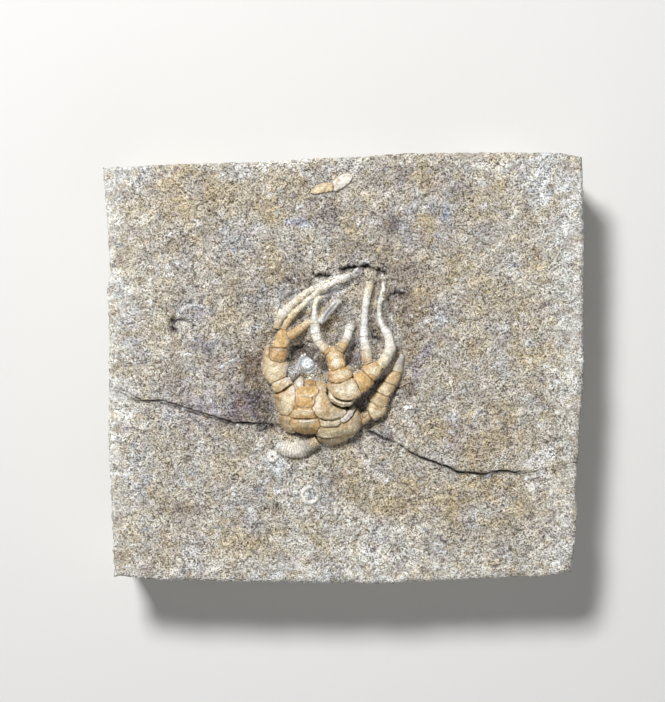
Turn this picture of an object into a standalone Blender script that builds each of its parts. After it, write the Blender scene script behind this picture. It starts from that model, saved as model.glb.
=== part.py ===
"""Crinoid fossil: a crown with its arms spread, lying in relief on a slab of siltstone.

The slab lies flat. Its outer form is worked out from its four edges, a hollow dug around the crown,
a crack and a chipped pit. The cup and the thick arm bases are blocks with grooved sutures between
their plates, and the thin arms are tapering tubes pinched at their joints. All lengths are in mm.
"""
import bpy
import bmesh
from math import atan2, cos, degrees, exp, hypot, pi, radians, sin, sqrt
from mathutils import Vector
from mathutils.bvhtree import BVHTree
from mathutils.geometry import delaunay_2d_cdt

# ---- driving dimensions ----
MM = 0.001
SLAB_HEIGHT = 18.0                  # general level of the upper face
GAP = 0.35                          # clearance between pieces that touch
ARRIS = 0.6                         # worn edge of the slab
SIDE_STEPS = [(13.0, 0.1), (7.0, 0.3), (0.7, -0.2), (0.0, 0.5)]     # levels down the sides, inset

# edges of the slab, from corner to corner
TOP_EDGE = [(-48.0, 40.2), (-33.5, 40.9), (-16.7, 41.3), (-4.7, 42.1), (4.9, 42.5), (12.1, 43.1),
            (30.0, 43.3), (43.3, 43.1), (47.9, 42.3)]
BOTTOM_EDGE = [(-45.9, -41.6), (-39.1, -42.3), (-19.1, -42.7), (7.3, -43.1), (24.1, -42.3),
               (43.3, -41.5), (45.9, -40.8)]
LEFT_EDGE = [(-41.6, -45.9), (-37.5, -46.1), (-25.5, -46.5), (-13.5, -47.1), (5.7, -46.9),
             (15.3, -47.3), (20.1, -46.7), (32.1, -47.5), (40.2, -48.2)]
RIGHT_EDGE = [(-40.8, 45.6), (-32.7, 46.5), (-27.9, 46.9), (-25.5, 46.3), (-13.5, 47.3),
              (-3.9, 48.1), (27.3, 48.1), (34.5, 47.9), (42.3, 47.9)]

# the hairline crack across the slab: x, y, depth
CRACK = [(-48.5, -4.0, 0.0), (-44.7, -4.9, 0.3), (-41.7, -6.3, 0.3), (-35.7, -7.1, 0.3),
         (-30.7, -8.7, 0.35), (-25.7, -10.3, 0.35), (-22.3, -10.5, 0.2), (-13.7, -11.3, 0.0),
         (4.0, -12.3, 0.0), (6.3, -12.9, 0.5), (9.3, -14.3, 0.7), (11.7, -15.5, 0.7),
         (16.3, -17.9, 0.8), (21.3, -20.3, 0.8), (26.3, -20.5, 0.8), (33.3, -20.2, 0.8),
         (40.3, -19.3, 0.6), (48.5, -18.4, 0.4)]
CRACK_LIP = 0.45                    # half width of the groove

# rows and columns of the upper face, closer together around the crown
COLUMNS = [-47.9, -43, -38, -34, -30, -26, -22.5, -20, -18, -16.2, -14.4, -12.6, -10.8, -9, -7.2,
           -5.4, -3.6, -1.8, 0, 1.8, 3.6, 5.4, 7.2, 9, 10.8, 12.6, 14.4, 16.5, 19, 23, 28, 33, 38,
           43, 47.9]
ROWS_ABOVE = [CRACK_LIP, 2, 3.8, 5.6, 7.4, 9.2, 11, 12.8, 14.6, 16.4, 18.2, 20, 21.8, 23.6, 25.4, 27.2,
              29, 30.6, 32, 33.2, 35, 38, 43, 48, 54]
ROWS_BELOW = [CRACK_LIP, 2, 4, 6, 8.5, 12, 16.5, 21, 25.5, 29]

# the hollow dug around the crown: bearing in degrees, reach, width of its bank
HOLLOW_CENTRE = (-1.0, 0.0)
HOLLOW_DEPTH = 2.0
HOLLOW_RIM = [(0, 16.4, 5.0), (30, 16.6, 3.0), (45, 20.2, 2.0), (65, 22.0, 1.8), (86, 21.0, 1.8),
              (114, 19.7, 2.2), (136, 18.7, 4.0), (160, 17.8, 6.0), (202, 21.0, 7.0),
              (242, 23.5, 8.0), (293, 18.0, 6.0), (322, 17.8, 5.0), (360, 16.4, 5.0)]

# rises and dips inside and beside the hollow: x, y, reach in x, reach in y, height
SWELLS = [(-0.5, 11.0, 6.5, 7.0, 1.1),          # matrix left between the upper arms
          (1.5, -2.0, 3.2, 3.4, 2.6),           # pedestal under the middle arm
          (8.4, -0.8, 1.7, 3.6, -0.7),          # gulf between the middle and the right arm
          (-7.2, 1.2, 3.0, 2.6, -0.3),          # bowl with the disc columnal
          (-30.4, 9.4, 3.6, 3.2, -0.7),         # chipped pit left of the crown
          (-33.4, 8.2, 1.2, 1.4, -0.7)]         # its deeper left side

# ---- cup of the crinoid ----
CUP_CENTRE = (-5.6, -8.6)
CUP_RIM_HEIGHT = 17.2
CUP_RISE = 4.5
CUP_OUTLINE = [(-13.9, -5.3), (-13.8, -6.8), (-13.3, -8.2), (-13.1, -9.6), (-12.7, -10.9),
               (-12.0, -12.2), (-11.3, -12.9), (-10.2, -13.1), (-8.8, -13.1), (-7.0, -13.3),
               (-5.6, -13.6), (-5.1, -14.4), (-4.2, -15.0), (-3.0, -15.4), (-1.6, -15.3),
               (0.0, -14.6), (1.6, -13.9), (3.0, -12.9), (3.6, -12.0), (3.7, -10.5), (3.7, -9.0),
               (3.2, -8.0), (2.4, -7.0), (1.4, -5.6), (-0.6, -4.4), (-2.4, -3.6), (-3.6, -2.7),
               (-4.6, -2.3), (-5.5, -2.1), (-6.9, -1.8), (-8.2, -1.8), (-9.0, -1.6), (-9.7, -2.1),
               (-9.8, -3.0), (-10.6, -3.7), (-11.8, -4.4), (-12.9, -5.0)]
CUP_SUTURES = [[(-9.9, -3.3), (-9.6, -4.1), (-9.5, -5.5), (-9.5, -7.3), (-9.9, -8.2)],
               [(-9.9, -8.2), (-10.6, -8.9), (-11.4, -9.4), (-12.8, -9.2)],
               [(-9.6, -4.1), (-8.4, -3.85), (-7.6, -3.6), (-6.3, -3.6), (-5.5, -3.7), (-4.9, -4.2)],
               [(-7.8, -2.1), (-7.6, -3.6)],
               [(-5.5, -2.4), (-5.5, -3.7)],
               [(-4.9, -4.2), (-5.1, -5.1), (-5.6, -6.0), (-5.8, -7.0), (-6.1, -7.6), (-6.0, -8.3)],
               [(-9.5, -7.3), (-8.6, -7.75), (-7.6, -7.85), (-6.6, -7.7), (-6.1, -7.6)],
               [(-4.9, -4.2), (-4.2, -4.6), (-3.6, -4.9)],
               [(-6.0, -8.3), (-5.6, -9.2), (-5.0, -9.7)],
               [(-5.0, -9.7), (-3.6, -10.25), (-2.2, -10.3), (-1.0, -10.05), (-0.3, -9.6),
                (0.35, -9.1)],
               [(-11.4, -9.4), (-9.9, -9.95), (-8.8, -10.1), (-7.4, -10.1), (-6.2, -9.95),
                (-5.0, -9.7)],
               [(-9.9, -9.95), (-10.6, -11.0), (-10.3, -11.9), (-9.5, -12.6)],
               [(-5.0, -9.7), (-4.7, -10.5), (-4.6, -11.5), (-5.0, -12.1), (-5.4, -13.0)],
               [(-4.6, -11.5), (-3.0, -11.7), (-1.2, -11.55), (-0.6, -10.4)],
               [(-0.6, -10.4), (0.4, -10.6), (1.2, -10.1), (1.7, -9.2), (2.1, -8.2)],
               [(-5.1, -13.3), (-4.0, -13.85), (-2.5, -13.75), (-1.0, -13.5), (0.5, -13.2),
                (2.0, -13.0), (2.8, -12.6)]]
SOCKET = (0.3, -5.2, 3.5, 3.1)      # facet that carries the middle arm: x, y, reach in x and y
SOCKET_FLOOR = 19.3

# the plates between the sutures
SUTURE_DEPTH = 0.4
SUTURE_REACH = 0.32                 # from the middle of a suture to its shoulder
PLATE_SWELL = 0.35
SWELL_REACH = 1.6                   # from a suture to the full swell of its plate

# ---- thick arm bases: outline, sutures, and ridge lines of x, y, height, half width ----
LEFT_BASE = {
    "outline": [(-13.9, -4.7), (-12.9, -4.45), (-12.1, -3.9), (-11.0, -3.1), (-10.3, -2.6),
                (-10.9, -1.8), (-11.7, -1.6), (-11.3, -0.5), (-11.0, 0.5), (-11.2, 1.2),
                (-11.5, 2.2), (-11.0, 3.4), (-11.1, 4.2), (-10.95, 5.0), (-11.0, 6.0),
                (-11.2, 6.9), (-11.5, 7.6), (-12.2, 7.8), (-12.8, 7.6), (-13.3, 6.8),
                (-13.8, 5.2), (-14.2, 4.3), (-15.2, 4.5), (-16.0, 3.3), (-16.15, 1.0),
                (-16.0, -0.3), (-15.6, -1.8), (-14.9, -2.8), (-14.4, -3.4)],
    "sutures": [[(-14.3, -2.9), (-13.4, -2.45), (-12.0, -1.85)],
                [(-14.9, 4.1), (-14.9, 2.3), (-14.4, 1.5), (-13.5, 1.3), (-12.6, 1.15), (-11.4, 1.2)],
                [(-13.9, 4.1), (-12.6, 4.1), (-11.4, 4.05)]],
    "ridges": [[(-11.4, -4.2, 20.6, 2.2), (-12.6, -3.0, 20.5, 2.5), (-13.6, -0.8, 20.4, 2.7),
                (-13.4, 2.6, 20.2, 2.3), (-12.6, 5.0, 20.0, 1.8), (-12.2, 7.8, 19.6, 1.4)]]}
MIDDLE_BASE = {
    "outline": [(-3.3, -4.2), (-3.1, -5.4), (-3.0, -6.2), (-2.4, -6.9), (-1.4, -7.4), (-0.4, -7.7),
                (1.2, -7.6), (1.9, -7.1), (2.5, -6.2), (3.2, -5.3), (3.2, -4.8), (2.8, -4.0),
                (2.3, -2.9), (1.8, -2.1), (1.5, -2.0), (0.7, -2.55), (-0.3, -3.0), (-1.3, -3.25),
                (-2.4, -3.1), (-3.0, -3.4)],
    "sutures": [[(-2.8, -4.2), (-2.0, -5.15), (-1.0, -5.9), (0.0, -6.2), (1.2, -6.1), (2.2, -5.75),
                 (2.9, -5.3)]],
    "ridges": [[(-0.8, -7.6, 21.6, 3.0), (-0.2, -4.8, 22.7, 3.5), (-0.6, -1.5, 22.5, 2.8)],
               [(0.3, -5.8, 22.5, 3.2), (2.4, -4.0, 22.6, 2.4), (4.0, -2.6, 22.4, 2.3)]]}
MIDDLE_LEFT = {
    "outline": [(-2.9, -2.2), (-2.4, -2.7), (-1.4, -2.85), (-0.4, -2.6), (0.6, -2.15), (1.3, -1.6),
                (1.6, -1.0), (1.3, -0.3), (0.9, 0.4), (0.3, 0.6), (0.2, 1.2), (0.0, 2.4),
                (-0.2, 2.9), (-1.3, 3.8), (-2.0, 4.3), (-2.8, 4.0), (-3.5, 2.9), (-3.3, 2.2),
                (-3.0, 1.2), (-2.9, 0.0), (-3.0, -0.9)],
    "sutures": [[(-2.7, -0.45), (-2.0, -0.4), (-1.0, -0.1), (0.0, 0.3), (0.6, 0.45)]],
    "ridges": [[(-0.2, -3.2, 22.6, 3.0), (-0.7, -1.2, 22.4, 2.6), (-1.5, 1.8, 21.8, 2.1),
                (-1.8, 4.4, 21.2, 2.0)]]}
MIDDLE_RIGHT = {
    "outline": [(2.2, -1.9), (2.7, -2.8), (3.2, -3.9), (3.6, -4.7), (4.3, -4.35), (5.2, -3.7),
                (5.9, -2.9), (6.2, -2.3), (6.9, -1.5), (7.4, -0.8), (7.7, -0.1), (7.35, 0.7),
                (6.5, 1.1), (5.9, 1.2), (5.0, 0.8), (4.1, 0.65), (3.8, 0.3), (3.8, -0.2),
                (3.5, -0.45), (2.6, -0.9), (2.0, -1.2)],
    "sutures": [[(4.0, -0.6), (4.45, -1.1), (5.4, -2.0), (5.9, -2.45)]],
    "ridges": [[(2.4, -3.8, 22.5, 2.6), (4.0, -2.6, 22.3, 2.4), (5.8, -0.5, 21.7, 2.3),
                (6.4, 1.4, 21.2, 2.2)]]}
RIGHT_BASE = {
    "outline": [(4.05, -9.0), (4.9, -8.55), (4.8, -7.9), (5.2, -7.2), (5.3, -6.5), (5.3, -5.7),
                (6.5, -5.1), (7.2, -4.95), (7.3, -4.0), (7.6, -3.3), (8.05, -2.6), (8.6, -1.7),
                (9.4, -0.9), (10.0, -0.5), (11.3, -0.6), (11.5, -1.5), (11.2, -2.2), (10.8, -3.0),
                (10.3, -3.5), (10.1, -4.0), (9.6, -4.8), (9.2, -5.5), (8.95, -5.9), (8.9, -6.6),
                (8.5, -7.3), (8.3, -7.9), (8.3, -8.3), (8.0, -9.0), (7.2, -9.7), (6.3, -10.1),
                (5.2, -10.3), (4.2, -11.0), (4.05, -11.1)],
    "sutures": [[(5.0, -8.8), (5.25, -9.4), (5.6, -9.8)],
                [(5.6, -7.0), (6.4, -7.35), (7.1, -7.65), (7.9, -7.75)],
                [(7.5, -5.1), (8.5, -5.65)],
                [(8.3, -2.8), (10.0, -3.35)]],
    "ridges": [[(3.0, -10.3, 19.8, 1.8), (4.6, -9.8, 19.7, 1.6), (6.4, -8.6, 19.8, 2.1),
                (7.2, -6.5, 19.6, 2.2), (8.5, -4.2, 19.3, 1.9), (9.7, -2.0, 18.9, 1.7),
                (10.9, -0.2, 18.5, 1.5)]]}

# ---- thin arms: x, y, height of the upper side, width ----
THIN_ARMS = {
    "left_arm_inner_branch": [(-10.4, 6.7, 19.7, 1.9), (-9.0, 7.6, 19.5, 1.7), (-8.0, 8.4, 19.2, 1.6),
                              (-7.0, 9.1, 18.8, 1.4)],
    "left_arm_outer_branch": [(-13.3, 8.2, 19.2, 1.1), (-12.9, 9.8, 19.3, 1.5), (-12.0, 11.2, 19.2, 1.5),
                              (-10.9, 12.3, 19.0, 1.3), (-9.8, 13.2, 18.9, 1.2), (-8.6, 14.4, 18.8, 1.2),
                              (-7.3, 15.3, 18.7, 1.1), (-6.0, 16.1, 18.6, 1.0), (-4.8, 16.8, 18.5, 0.8),
                              (-3.2, 17.6, 18.3, 0.7), (-1.8, 18.1, 18.1, 0.6)],
    "left_arm_middle_branch": [(-11.9, 8.35, 19.3, 1.1), (-11.3, 9.6, 19.2, 1.1), (-10.5, 10.7, 19.1, 1.1),
                               (-9.6, 11.5, 19.0, 1.0), (-8.7, 12.2, 18.9, 0.9), (-7.6, 13.3, 18.8, 0.9),
                               (-6.6, 14.2, 18.7, 0.9), (-5.6, 15.1, 18.6, 0.8), (-4.5, 15.9, 18.5, 0.8),
                               (-3.2, 16.6, 18.4, 0.9), (-1.6, 17.3, 18.2, 0.9), (0.2, 18.1, 18.0, 0.8),
                               (1.6, 18.8, 17.8, 0.6)],
    "middle_arm_first": [(-3.75, 3.95, 21.0, 1.6), (-4.4, 4.6, 20.8, 1.6), (-5.0, 5.3, 20.6, 1.6),
                         (-5.4, 6.5, 20.3, 1.8), (-5.6, 7.6, 20.0, 1.8), (-5.7, 8.6, 19.8, 1.8),
                         (-5.7, 9.6, 19.5, 1.5), (-5.8, 10.6, 19.2, 0.9), (-5.9, 11.6, 19.0, 0.8),
                         (-6.0, 12.6, 18.9, 0.8), (-5.7, 13.5, 18.8, 0.8), (-4.9, 14.1, 18.7, 0.8),
                         (-4.2, 14.3, 18.6, 0.7)],
    "middle_arm_strand": [(-4.1, 9.9, 19.3, 1.0), (-3.4, 10.6, 19.1, 1.2), (-2.6, 11.6, 18.9, 1.2),
                          (-1.8, 12.6, 18.7, 1.1), (-1.1, 13.4, 18.5, 0.8)],
    "middle_arm_second": [(-0.35, 4.05, 21.0, 1.5), (0.1, 4.9, 20.8, 1.5), (0.6, 5.8, 20.6, 1.4),
                          (0.9, 6.8, 20.4, 1.6), (1.2, 7.7, 20.2, 1.5), (1.55, 8.8, 20.1, 1.4)],
    "middle_arm_third": [(4.8, 1.55, 21.1, 2.0), (4.6, 2.6, 20.9, 2.1), (4.5, 3.7, 20.7, 1.7),
                         (4.2, 5.0, 20.4, 1.65), (4.1, 6.4, 20.2, 1.6), (4.1, 7.6, 19.9, 1.4),
                         (4.1, 8.7, 19.7, 1.4), (4.2, 10.0, 19.4, 1.2), (4.3, 11.5, 19.2, 1.1),
                         (4.4, 13.0, 19.0, 1.15), (4.6, 14.4, 18.8, 1.2), (5.0, 15.8, 18.6, 1.3),
                         (5.4, 17.4, 18.3, 1.1)],
    "middle_arm_fourth": [(7.9, 1.25, 20.9, 1.9), (8.5, 2.1, 20.6, 1.9), (9.0, 3.0, 20.3, 1.9),
                          (9.3, 4.0, 20.1, 1.8), (9.4, 5.0, 19.9, 1.8), (9.1, 6.3, 19.6, 1.9),
                          (8.6, 7.2, 19.4, 1.6), (7.9, 8.2, 19.2, 1.4), (7.4, 9.2, 19.0, 1.1),
                          (7.2, 10.2, 18.8, 0.9), (7.1, 11.5, 18.7, 0.8), (7.4, 13.0, 18.6, 0.8),
                          (7.8, 14.6, 18.4, 0.8), (8.0, 16.0, 18.2, 0.8), (8.1, 17.4, 18.0, 0.7)],
    "right_arm_tip": [(10.9, 0.0, 18.4, 1.5), (11.2, 1.0, 18.1, 1.3), (11.5, 1.8, 17.8, 1.1),
                      (11.7, 2.6, 17.5, 0.8)]}
JOINT_SPACING = 2.1                 # length of one arm segment
PINCH = 0.86                        # share of its radius that an arm keeps at a joint
PINCH_REACH = 0.28                  # half length of that waist

# ---- stem and small fossils ----
STEM = [(-13.2, -15.2, 19.0, 2.0), (-12.4, -15.8, 19.2, 2.6), (-11.2, -16.2, 19.4, 3.0),
        (-9.8, -16.3, 19.4, 3.1), (-8.4, -16.0, 19.4, 3.0), (-7.2, -15.5, 19.3, 2.7),
        (-6.4, -15.2, 19.2, 2.2)]
DISC_COLUMNAL = (-7.2, 0.7, 1.7)    # x, y, radius
SMALL_COLUMNAL = (-14.2, -17.6, 1.25)
RING_COLUMNAL = (-6.7, -25.3, 1.55)
RING_GAP = (5, 75)                  # the bearings between which the ring is open
RING_THICKNESS = 0.45
SMALL_RISE = 0.55                   # how far the small fossils stand over their gap
SHELL_OUTLINE = [(-7.0, 35.0), (-6.6, 35.9), (-5.6, 36.8), (-4.0, 37.3), (-2.4, 37.5),
                 (-1.6, 38.2), (-0.4, 38.9), (1.0, 39.2), (2.1, 38.9), (2.1, 38.0), (1.4, 37.0),
                 (0.4, 36.3), (-0.8, 35.6), (-2.2, 35.2), (-4.0, 35.0), (-5.8, 34.6)]

COLOURS = {"siltstone": (0.34, 0.31, 0.27), "cup_tan": (0.62, 0.42, 0.21),
           "orange_plate": (0.68, 0.45, 0.2), "cream_plate": (0.74, 0.66, 0.5),
           "bleached_arm": (0.78, 0.76, 0.7), "columnal_white": (0.72, 0.73, 0.72)}


def clear_scene():
    for item in list(bpy.data.objects):
        bpy.data.objects.remove(item)


def make_material(name):
    material = bpy.data.materials.new(name)
    material.use_nodes = True
    shader = material.node_tree.nodes["Principled BSDF"]
    shader.inputs["Base Color"].default_value = (*COLOURS[name], 1)
    shader.inputs["Roughness"].default_value = 0.85
    shader.inputs["Metallic"].default_value = 0
    material.diffuse_color = (*COLOURS[name], 1)
    return material


def add_object(name, bm, material_name):
    """Turn a bmesh in mm into a named object of the fossil, in metres."""
    bmesh.ops.recalc_face_normals(bm, faces=bm.faces)
    if bm.calc_volume(signed=True) < 0:
        bmesh.ops.reverse_faces(bm, faces=bm.faces)
    bmesh.ops.scale(bm, vec=(MM, MM, MM), verts=bm.verts)
    mesh = bpy.data.meshes.new(name)
    bm.to_mesh(mesh)
    bm.free()
    mesh.shade_smooth()
    mesh.set_sharp_from_angle(angle=radians(40))
    mesh.materials.append(make_material(material_name))
    item = bpy.data.objects.new(name, mesh)
    fossil.objects.link(item)
    return item


def between(value, pairs):
    """Read a value off a list of (place, value) pairs by straight lines."""
    if value <= pairs[0][0]:
        return pairs[0][1]
    for (low, start), (high, end) in zip(pairs, pairs[1:]):
        if value <= high:
            return start + (end - start) * (value - low) / (high - low)
    return pairs[-1][1]


def ease(share):
    share = min(1.0, max(0.0, share))
    return share * share * (3 - 2 * share)


def line_distance(x, y, start, end):
    """Distance from a point to a straight stretch, and how far along it the nearest place is."""
    run_x, run_y = end[0] - start[0], end[1] - start[1]
    along = ((x - start[0]) * run_x + (y - start[1]) * run_y) / (run_x ** 2 + run_y ** 2)
    along = min(1.0, max(0.0, along))
    return hypot(x - start[0] - along * run_x, y - start[1] - along * run_y), along


def distance_to_lines(x, y, lines):
    return min(line_distance(x, y, start, end)[0]
               for line in lines for start, end in zip(line, line[1:]))


# ---- the slab ----
def hollow_share(x, y):
    """1 on the floor of the hollow, 0 outside its rim."""
    away_x, away_y = x - HOLLOW_CENTRE[0], y - HOLLOW_CENTRE[1]
    bearing = degrees(atan2(away_y, away_x)) % 360
    reach = between(bearing, [(angle, far) for angle, far, _ in HOLLOW_RIM])
    bank = between(bearing, [(angle, width) for angle, _, width in HOLLOW_RIM])
    return ease((reach - hypot(away_x, away_y)) / bank)


def ground(x, y):
    height = SLAB_HEIGHT - HOLLOW_DEPTH * hollow_share(x, y)
    height += 0.2 * sin(x / 11 + 0.6) * cos(y / 13 - 0.4) + 0.1 * sin(x / 5.3 + y / 7.1 + 1.1)
    for centre_x, centre_y, reach_x, reach_y, rise in SWELLS:
        height += rise * exp(-((x - centre_x) / reach_x) ** 2 - ((y - centre_y) / reach_y) ** 2)
    return height


def slab_place(column, row):
    """Place of a grid line crossing; row 0 is the crack, and rows above it are positive."""
    crack_y = between(column, [(x, y) for x, y, _ in CRACK])
    if row >= 0:
        y = crack_y + row * (between(column, TOP_EDGE) - crack_y)
    else:
        y = crack_y + row * (crack_y - between(column, BOTTOM_EDGE))
    left, right = between(y, LEFT_EDGE), between(y, RIGHT_EDGE)
    share = (column - COLUMNS[0]) / (COLUMNS[-1] - COLUMNS[0])
    return left + (right - left) * share, y


def build_slab():
    rows = [-step / ROWS_BELOW[-1] for step in reversed(ROWS_BELOW)] + [0.0]
    rows += [step / ROWS_ABOVE[-1] for step in ROWS_ABOVE]
    bm = bmesh.new()
    bmesh.ops.create_grid(bm, x_segments=len(COLUMNS) - 1, y_segments=len(rows) - 1, size=1)
    for vert in bm.verts:
        column = round((vert.co.x + 1) / 2 * (len(COLUMNS) - 1))
        row = round((vert.co.y + 1) / 2 * (len(rows) - 1))
        x, y = slab_place(COLUMNS[column], rows[row])
        height = ground(x, y)
        if rows[row] == 0:
            height -= between(x, [(place, depth) for place, _, depth in CRACK])
        vert.co = (x, y, height)
    edge_verts = [vert for vert in bm.verts if vert.is_boundary]
    for vert in edge_verts:
        vert.co.z -= ARRIS
    # the four sides go down in steps, rough as broken stone, to the flat underside
    rim = [edge for edge in bm.edges if edge.is_boundary]
    for level, inset in SIDE_STEPS:
        made = bmesh.ops.extrude_edge_only(bm, edges=rim)["geom"]
        rim = [item for item in made if isinstance(item, bmesh.types.BMEdge)]
        for vert in [item for item in made if isinstance(item, bmesh.types.BMVert)]:
            around = atan2(vert.co.y, vert.co.x)
            pull = inset + 0.25 * sin(9 * around + level)
            shrink = 1 - pull / hypot(vert.co.x, vert.co.y)
            vert.co = (vert.co.x * shrink, vert.co.y * shrink, level)
    bmesh.ops.contextual_create(bm, geom=rim)
    bmesh.ops.triangulate(bm, faces=bm.faces)
    return add_object("matrix_slab", bm, "siltstone")


def surface_finder(items, reach=0.0):
    """A function that gives the highest point of some finished objects within reach of x, y."""
    trees = [BVHTree.FromPolygons([vert.co / MM for vert in item.data.vertices],
                                  [face.vertices for face in item.data.polygons]) for item in items]

    def support(x, y):
        spots = [(x + i * reach, y + j * reach) for i in (-1, 0, 1) for j in (-1, 0, 1)]
        hits = [tree.ray_cast(Vector((*spot, 60)), Vector((0, 0, -1)))[0]
                for tree in trees for spot in spots]
        return max(hit.z for hit in hits if hit)
    return support


# ---- cup and arm bases ----
def block_mesh(outline, sutures, top, support, spacing=0.9):
    """A solid with the upper face of top(x, y), straight sides and an underside over its support."""
    points = list(outline)
    edges = [(i, (i + 1) % len(outline)) for i in range(len(outline))]
    for line in sutures:
        first = len(points)
        points += line
        edges += [(first + i, first + i + 1) for i in range(len(line) - 1)]
    closed = outline + outline[:1]
    lines = [closed] + sutures
    for line in sutures:                        # shoulders on both sides of each groove
        for (x0, y0), (x1, y1) in zip(line, line[1:]):
            length = hypot(x1 - x0, y1 - y0)
            for side in (-SUTURE_REACH, SUTURE_REACH):
                x = (x0 + x1) / 2 - side * (y1 - y0) / length
                y = (y0 + y1) / 2 + side * (x1 - x0) / length
                clear = distance_to_lines(x, y, lines) > 0.8 * SUTURE_REACH
                if clear and inside(x, y, outline):
                    points.append((x, y))
    low_x, low_y = min(x for x, _ in outline), min(y for _, y in outline)
    wide = int((max(x for x, _ in outline) - low_x) / spacing) + 1
    deep = int((max(y for _, y in outline) - low_y) / spacing) + 1
    for i in range(wide):
        for j in range(deep):
            x, y = low_x + (i + 0.5 * (j % 2)) * spacing, low_y + (j + 0.5) * spacing
            if inside(x, y, outline) and distance_to_lines(x, y, lines) > 0.45 * spacing:
                points.append((x, y))
    ring = [list(range(len(outline)))]
    flat = delaunay_2d_cdt([Vector(point) for point in points], edges, ring, 1, 1e-4)
    bm = bmesh.new()
    verts = [bm.verts.new((x, y, top(x, y))) for x, y in flat[0]]
    for face in flat[2]:
        bm.faces.new([verts[i] for i in face])
    bm.verts.ensure_lookup_table()
    rim = [edge for edge in bm.edges if edge.is_boundary]
    made = bmesh.ops.extrude_edge_only(bm, edges=rim)["geom"]
    for vert in [item for item in made if isinstance(item, bmesh.types.BMVert)]:
        vert.co.z = support(vert.co.x, vert.co.y) + GAP
    rim = [item for item in made if isinstance(item, bmesh.types.BMEdge)]
    floor = bmesh.ops.triangle_fill(bm, edges=rim, use_beauty=True)["geom"]
    inner = {edge for face in floor if isinstance(face, bmesh.types.BMFace)
             for edge in face.edges} - set(rim)
    split = bmesh.ops.subdivide_edges(bm, edges=list(inner), cuts=2, use_grid_fill=False)
    for vert in [item for item in split["geom_inner"] if isinstance(item, bmesh.types.BMVert)]:
        vert.co.z = support(vert.co.x, vert.co.y) + GAP
    bmesh.ops.triangulate(bm, faces=bm.faces)
    return bm


def inside(x, y, outline):
    found = False
    for (x0, y0), (x1, y1) in zip(outline, outline[1:] + outline[:1]):
        if (y0 > y) != (y1 > y) and x < x0 + (x1 - x0) * (y - y0) / (y1 - y0):
            found = not found
    return found


def groove(x, y, sutures):
    """How far the surface dips at a suture, and swells between sutures."""
    away = distance_to_lines(x, y, sutures)
    return PLATE_SWELL * ease(away / SWELL_REACH) - SUTURE_DEPTH * (1 - ease(away / SUTURE_REACH))


def cup_top(x, y):
    away_x, away_y = x - CUP_CENTRE[0], y - CUP_CENTRE[1]
    share = min(1.0, hypot(away_x, away_y) / max(0.1, cup_reach(atan2(away_y, away_x))))
    height = CUP_RIM_HEIGHT + CUP_RISE * (1 - share ** 2.6) ** 0.6 + groove(x, y, CUP_SUTURES)
    socket = hypot((x - SOCKET[0]) / SOCKET[2], (y - SOCKET[1]) / SOCKET[3])
    if height > SOCKET_FLOOR:
        height = SOCKET_FLOOR + (height - SOCKET_FLOOR) * ease((socket - 0.82) / 0.18)
    return height


def cup_reach(bearing):
    """Distance from the cup's centre to its outline in one direction."""
    centre_x, centre_y = CUP_CENTRE
    out_x, out_y = cos(bearing), sin(bearing)
    hits = []
    for start, end in zip(CUP_OUTLINE, CUP_OUTLINE[1:] + CUP_OUTLINE[:1]):
        beside0 = (start[0] - centre_x) * out_y - (start[1] - centre_y) * out_x
        beside1 = (end[0] - centre_x) * out_y - (end[1] - centre_y) * out_x
        if beside0 * beside1 <= 0 and beside0 != beside1:
            share = beside0 / (beside0 - beside1)
            x = start[0] + share * (end[0] - start[0]) - centre_x
            y = start[1] + share * (end[1] - start[1]) - centre_y
            if x * out_x + y * out_y > 0:
                hits.append(hypot(x, y))
    return max(hits)


def ridge_top(x, y, ridges):
    """Rounded back of an arm: highest on its ridge line, falling towards its sides."""
    best = 0.0
    for ridge in ridges:
        for start, end in zip(ridge, ridge[1:]):
            away, along = line_distance(x, y, start, end)
            height = start[2] + (end[2] - start[2]) * along
            half = start[3] + (end[3] - start[3]) * along
            across = min(1.0, away / half)
            best = max(best, height - 0.85 * half * (1 - sqrt(1 - across ** 2)))
    return best


def build_cup(support):
    angles = [2 * pi * i / 20 for i in range(21)]
    rims = [[(SOCKET[0] + size * SOCKET[2] * cos(angle), SOCKET[1] + size * SOCKET[3] * sin(angle))
             for angle in angles] for size in (1.0, 0.8)]
    rims = [[point for point in rim if inside(*point, CUP_OUTLINE)
             and distance_to_lines(*point, [CUP_OUTLINE]) > 0.25] for rim in rims]
    bm = block_mesh(CUP_OUTLINE, CUP_SUTURES + rims, cup_top, support)
    return add_object("cup", bm, "cup_tan")


def build_base(name, base, support, material_name):
    def top(x, y):
        return ridge_top(x, y, base["ridges"]) + 0.7 * groove(x, y, base["sutures"])
    bm = block_mesh(base["outline"], base["sutures"], top, support)
    return add_object(name, bm, material_name)


# ---- thin arms, stem and small fossils ----
def pinched(path, joint_spacing):
    """Add a waist at every joint along an arm; the points get x, y, height, width."""
    lengths = [0.0]
    for start, end in zip(path, path[1:]):
        lengths.append(lengths[-1] + hypot(end[0] - start[0], end[1] - start[1]))
    joints = [joint_spacing * (i + 1) for i in range(int(lengths[-1] / joint_spacing - 0.4))]
    places = [(length, 1.0) for length in (lengths[0], lengths[-1])]
    for joint in joints:
        places += [(joint - PINCH_REACH, 1.0), (joint, PINCH), (joint + PINCH_REACH, 1.0)]
        places.append((joint + joint_spacing / 2, 1.0))
    places = sorted(place for place in places if place[0] <= lengths[-1])
    columns = [[(length, point[i]) for length, point in zip(lengths, path)] for i in range(4)]
    return [(*[between(place, column) for column in columns[:3]], between(place, columns[3]) * size)
            for place, size in places]


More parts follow.
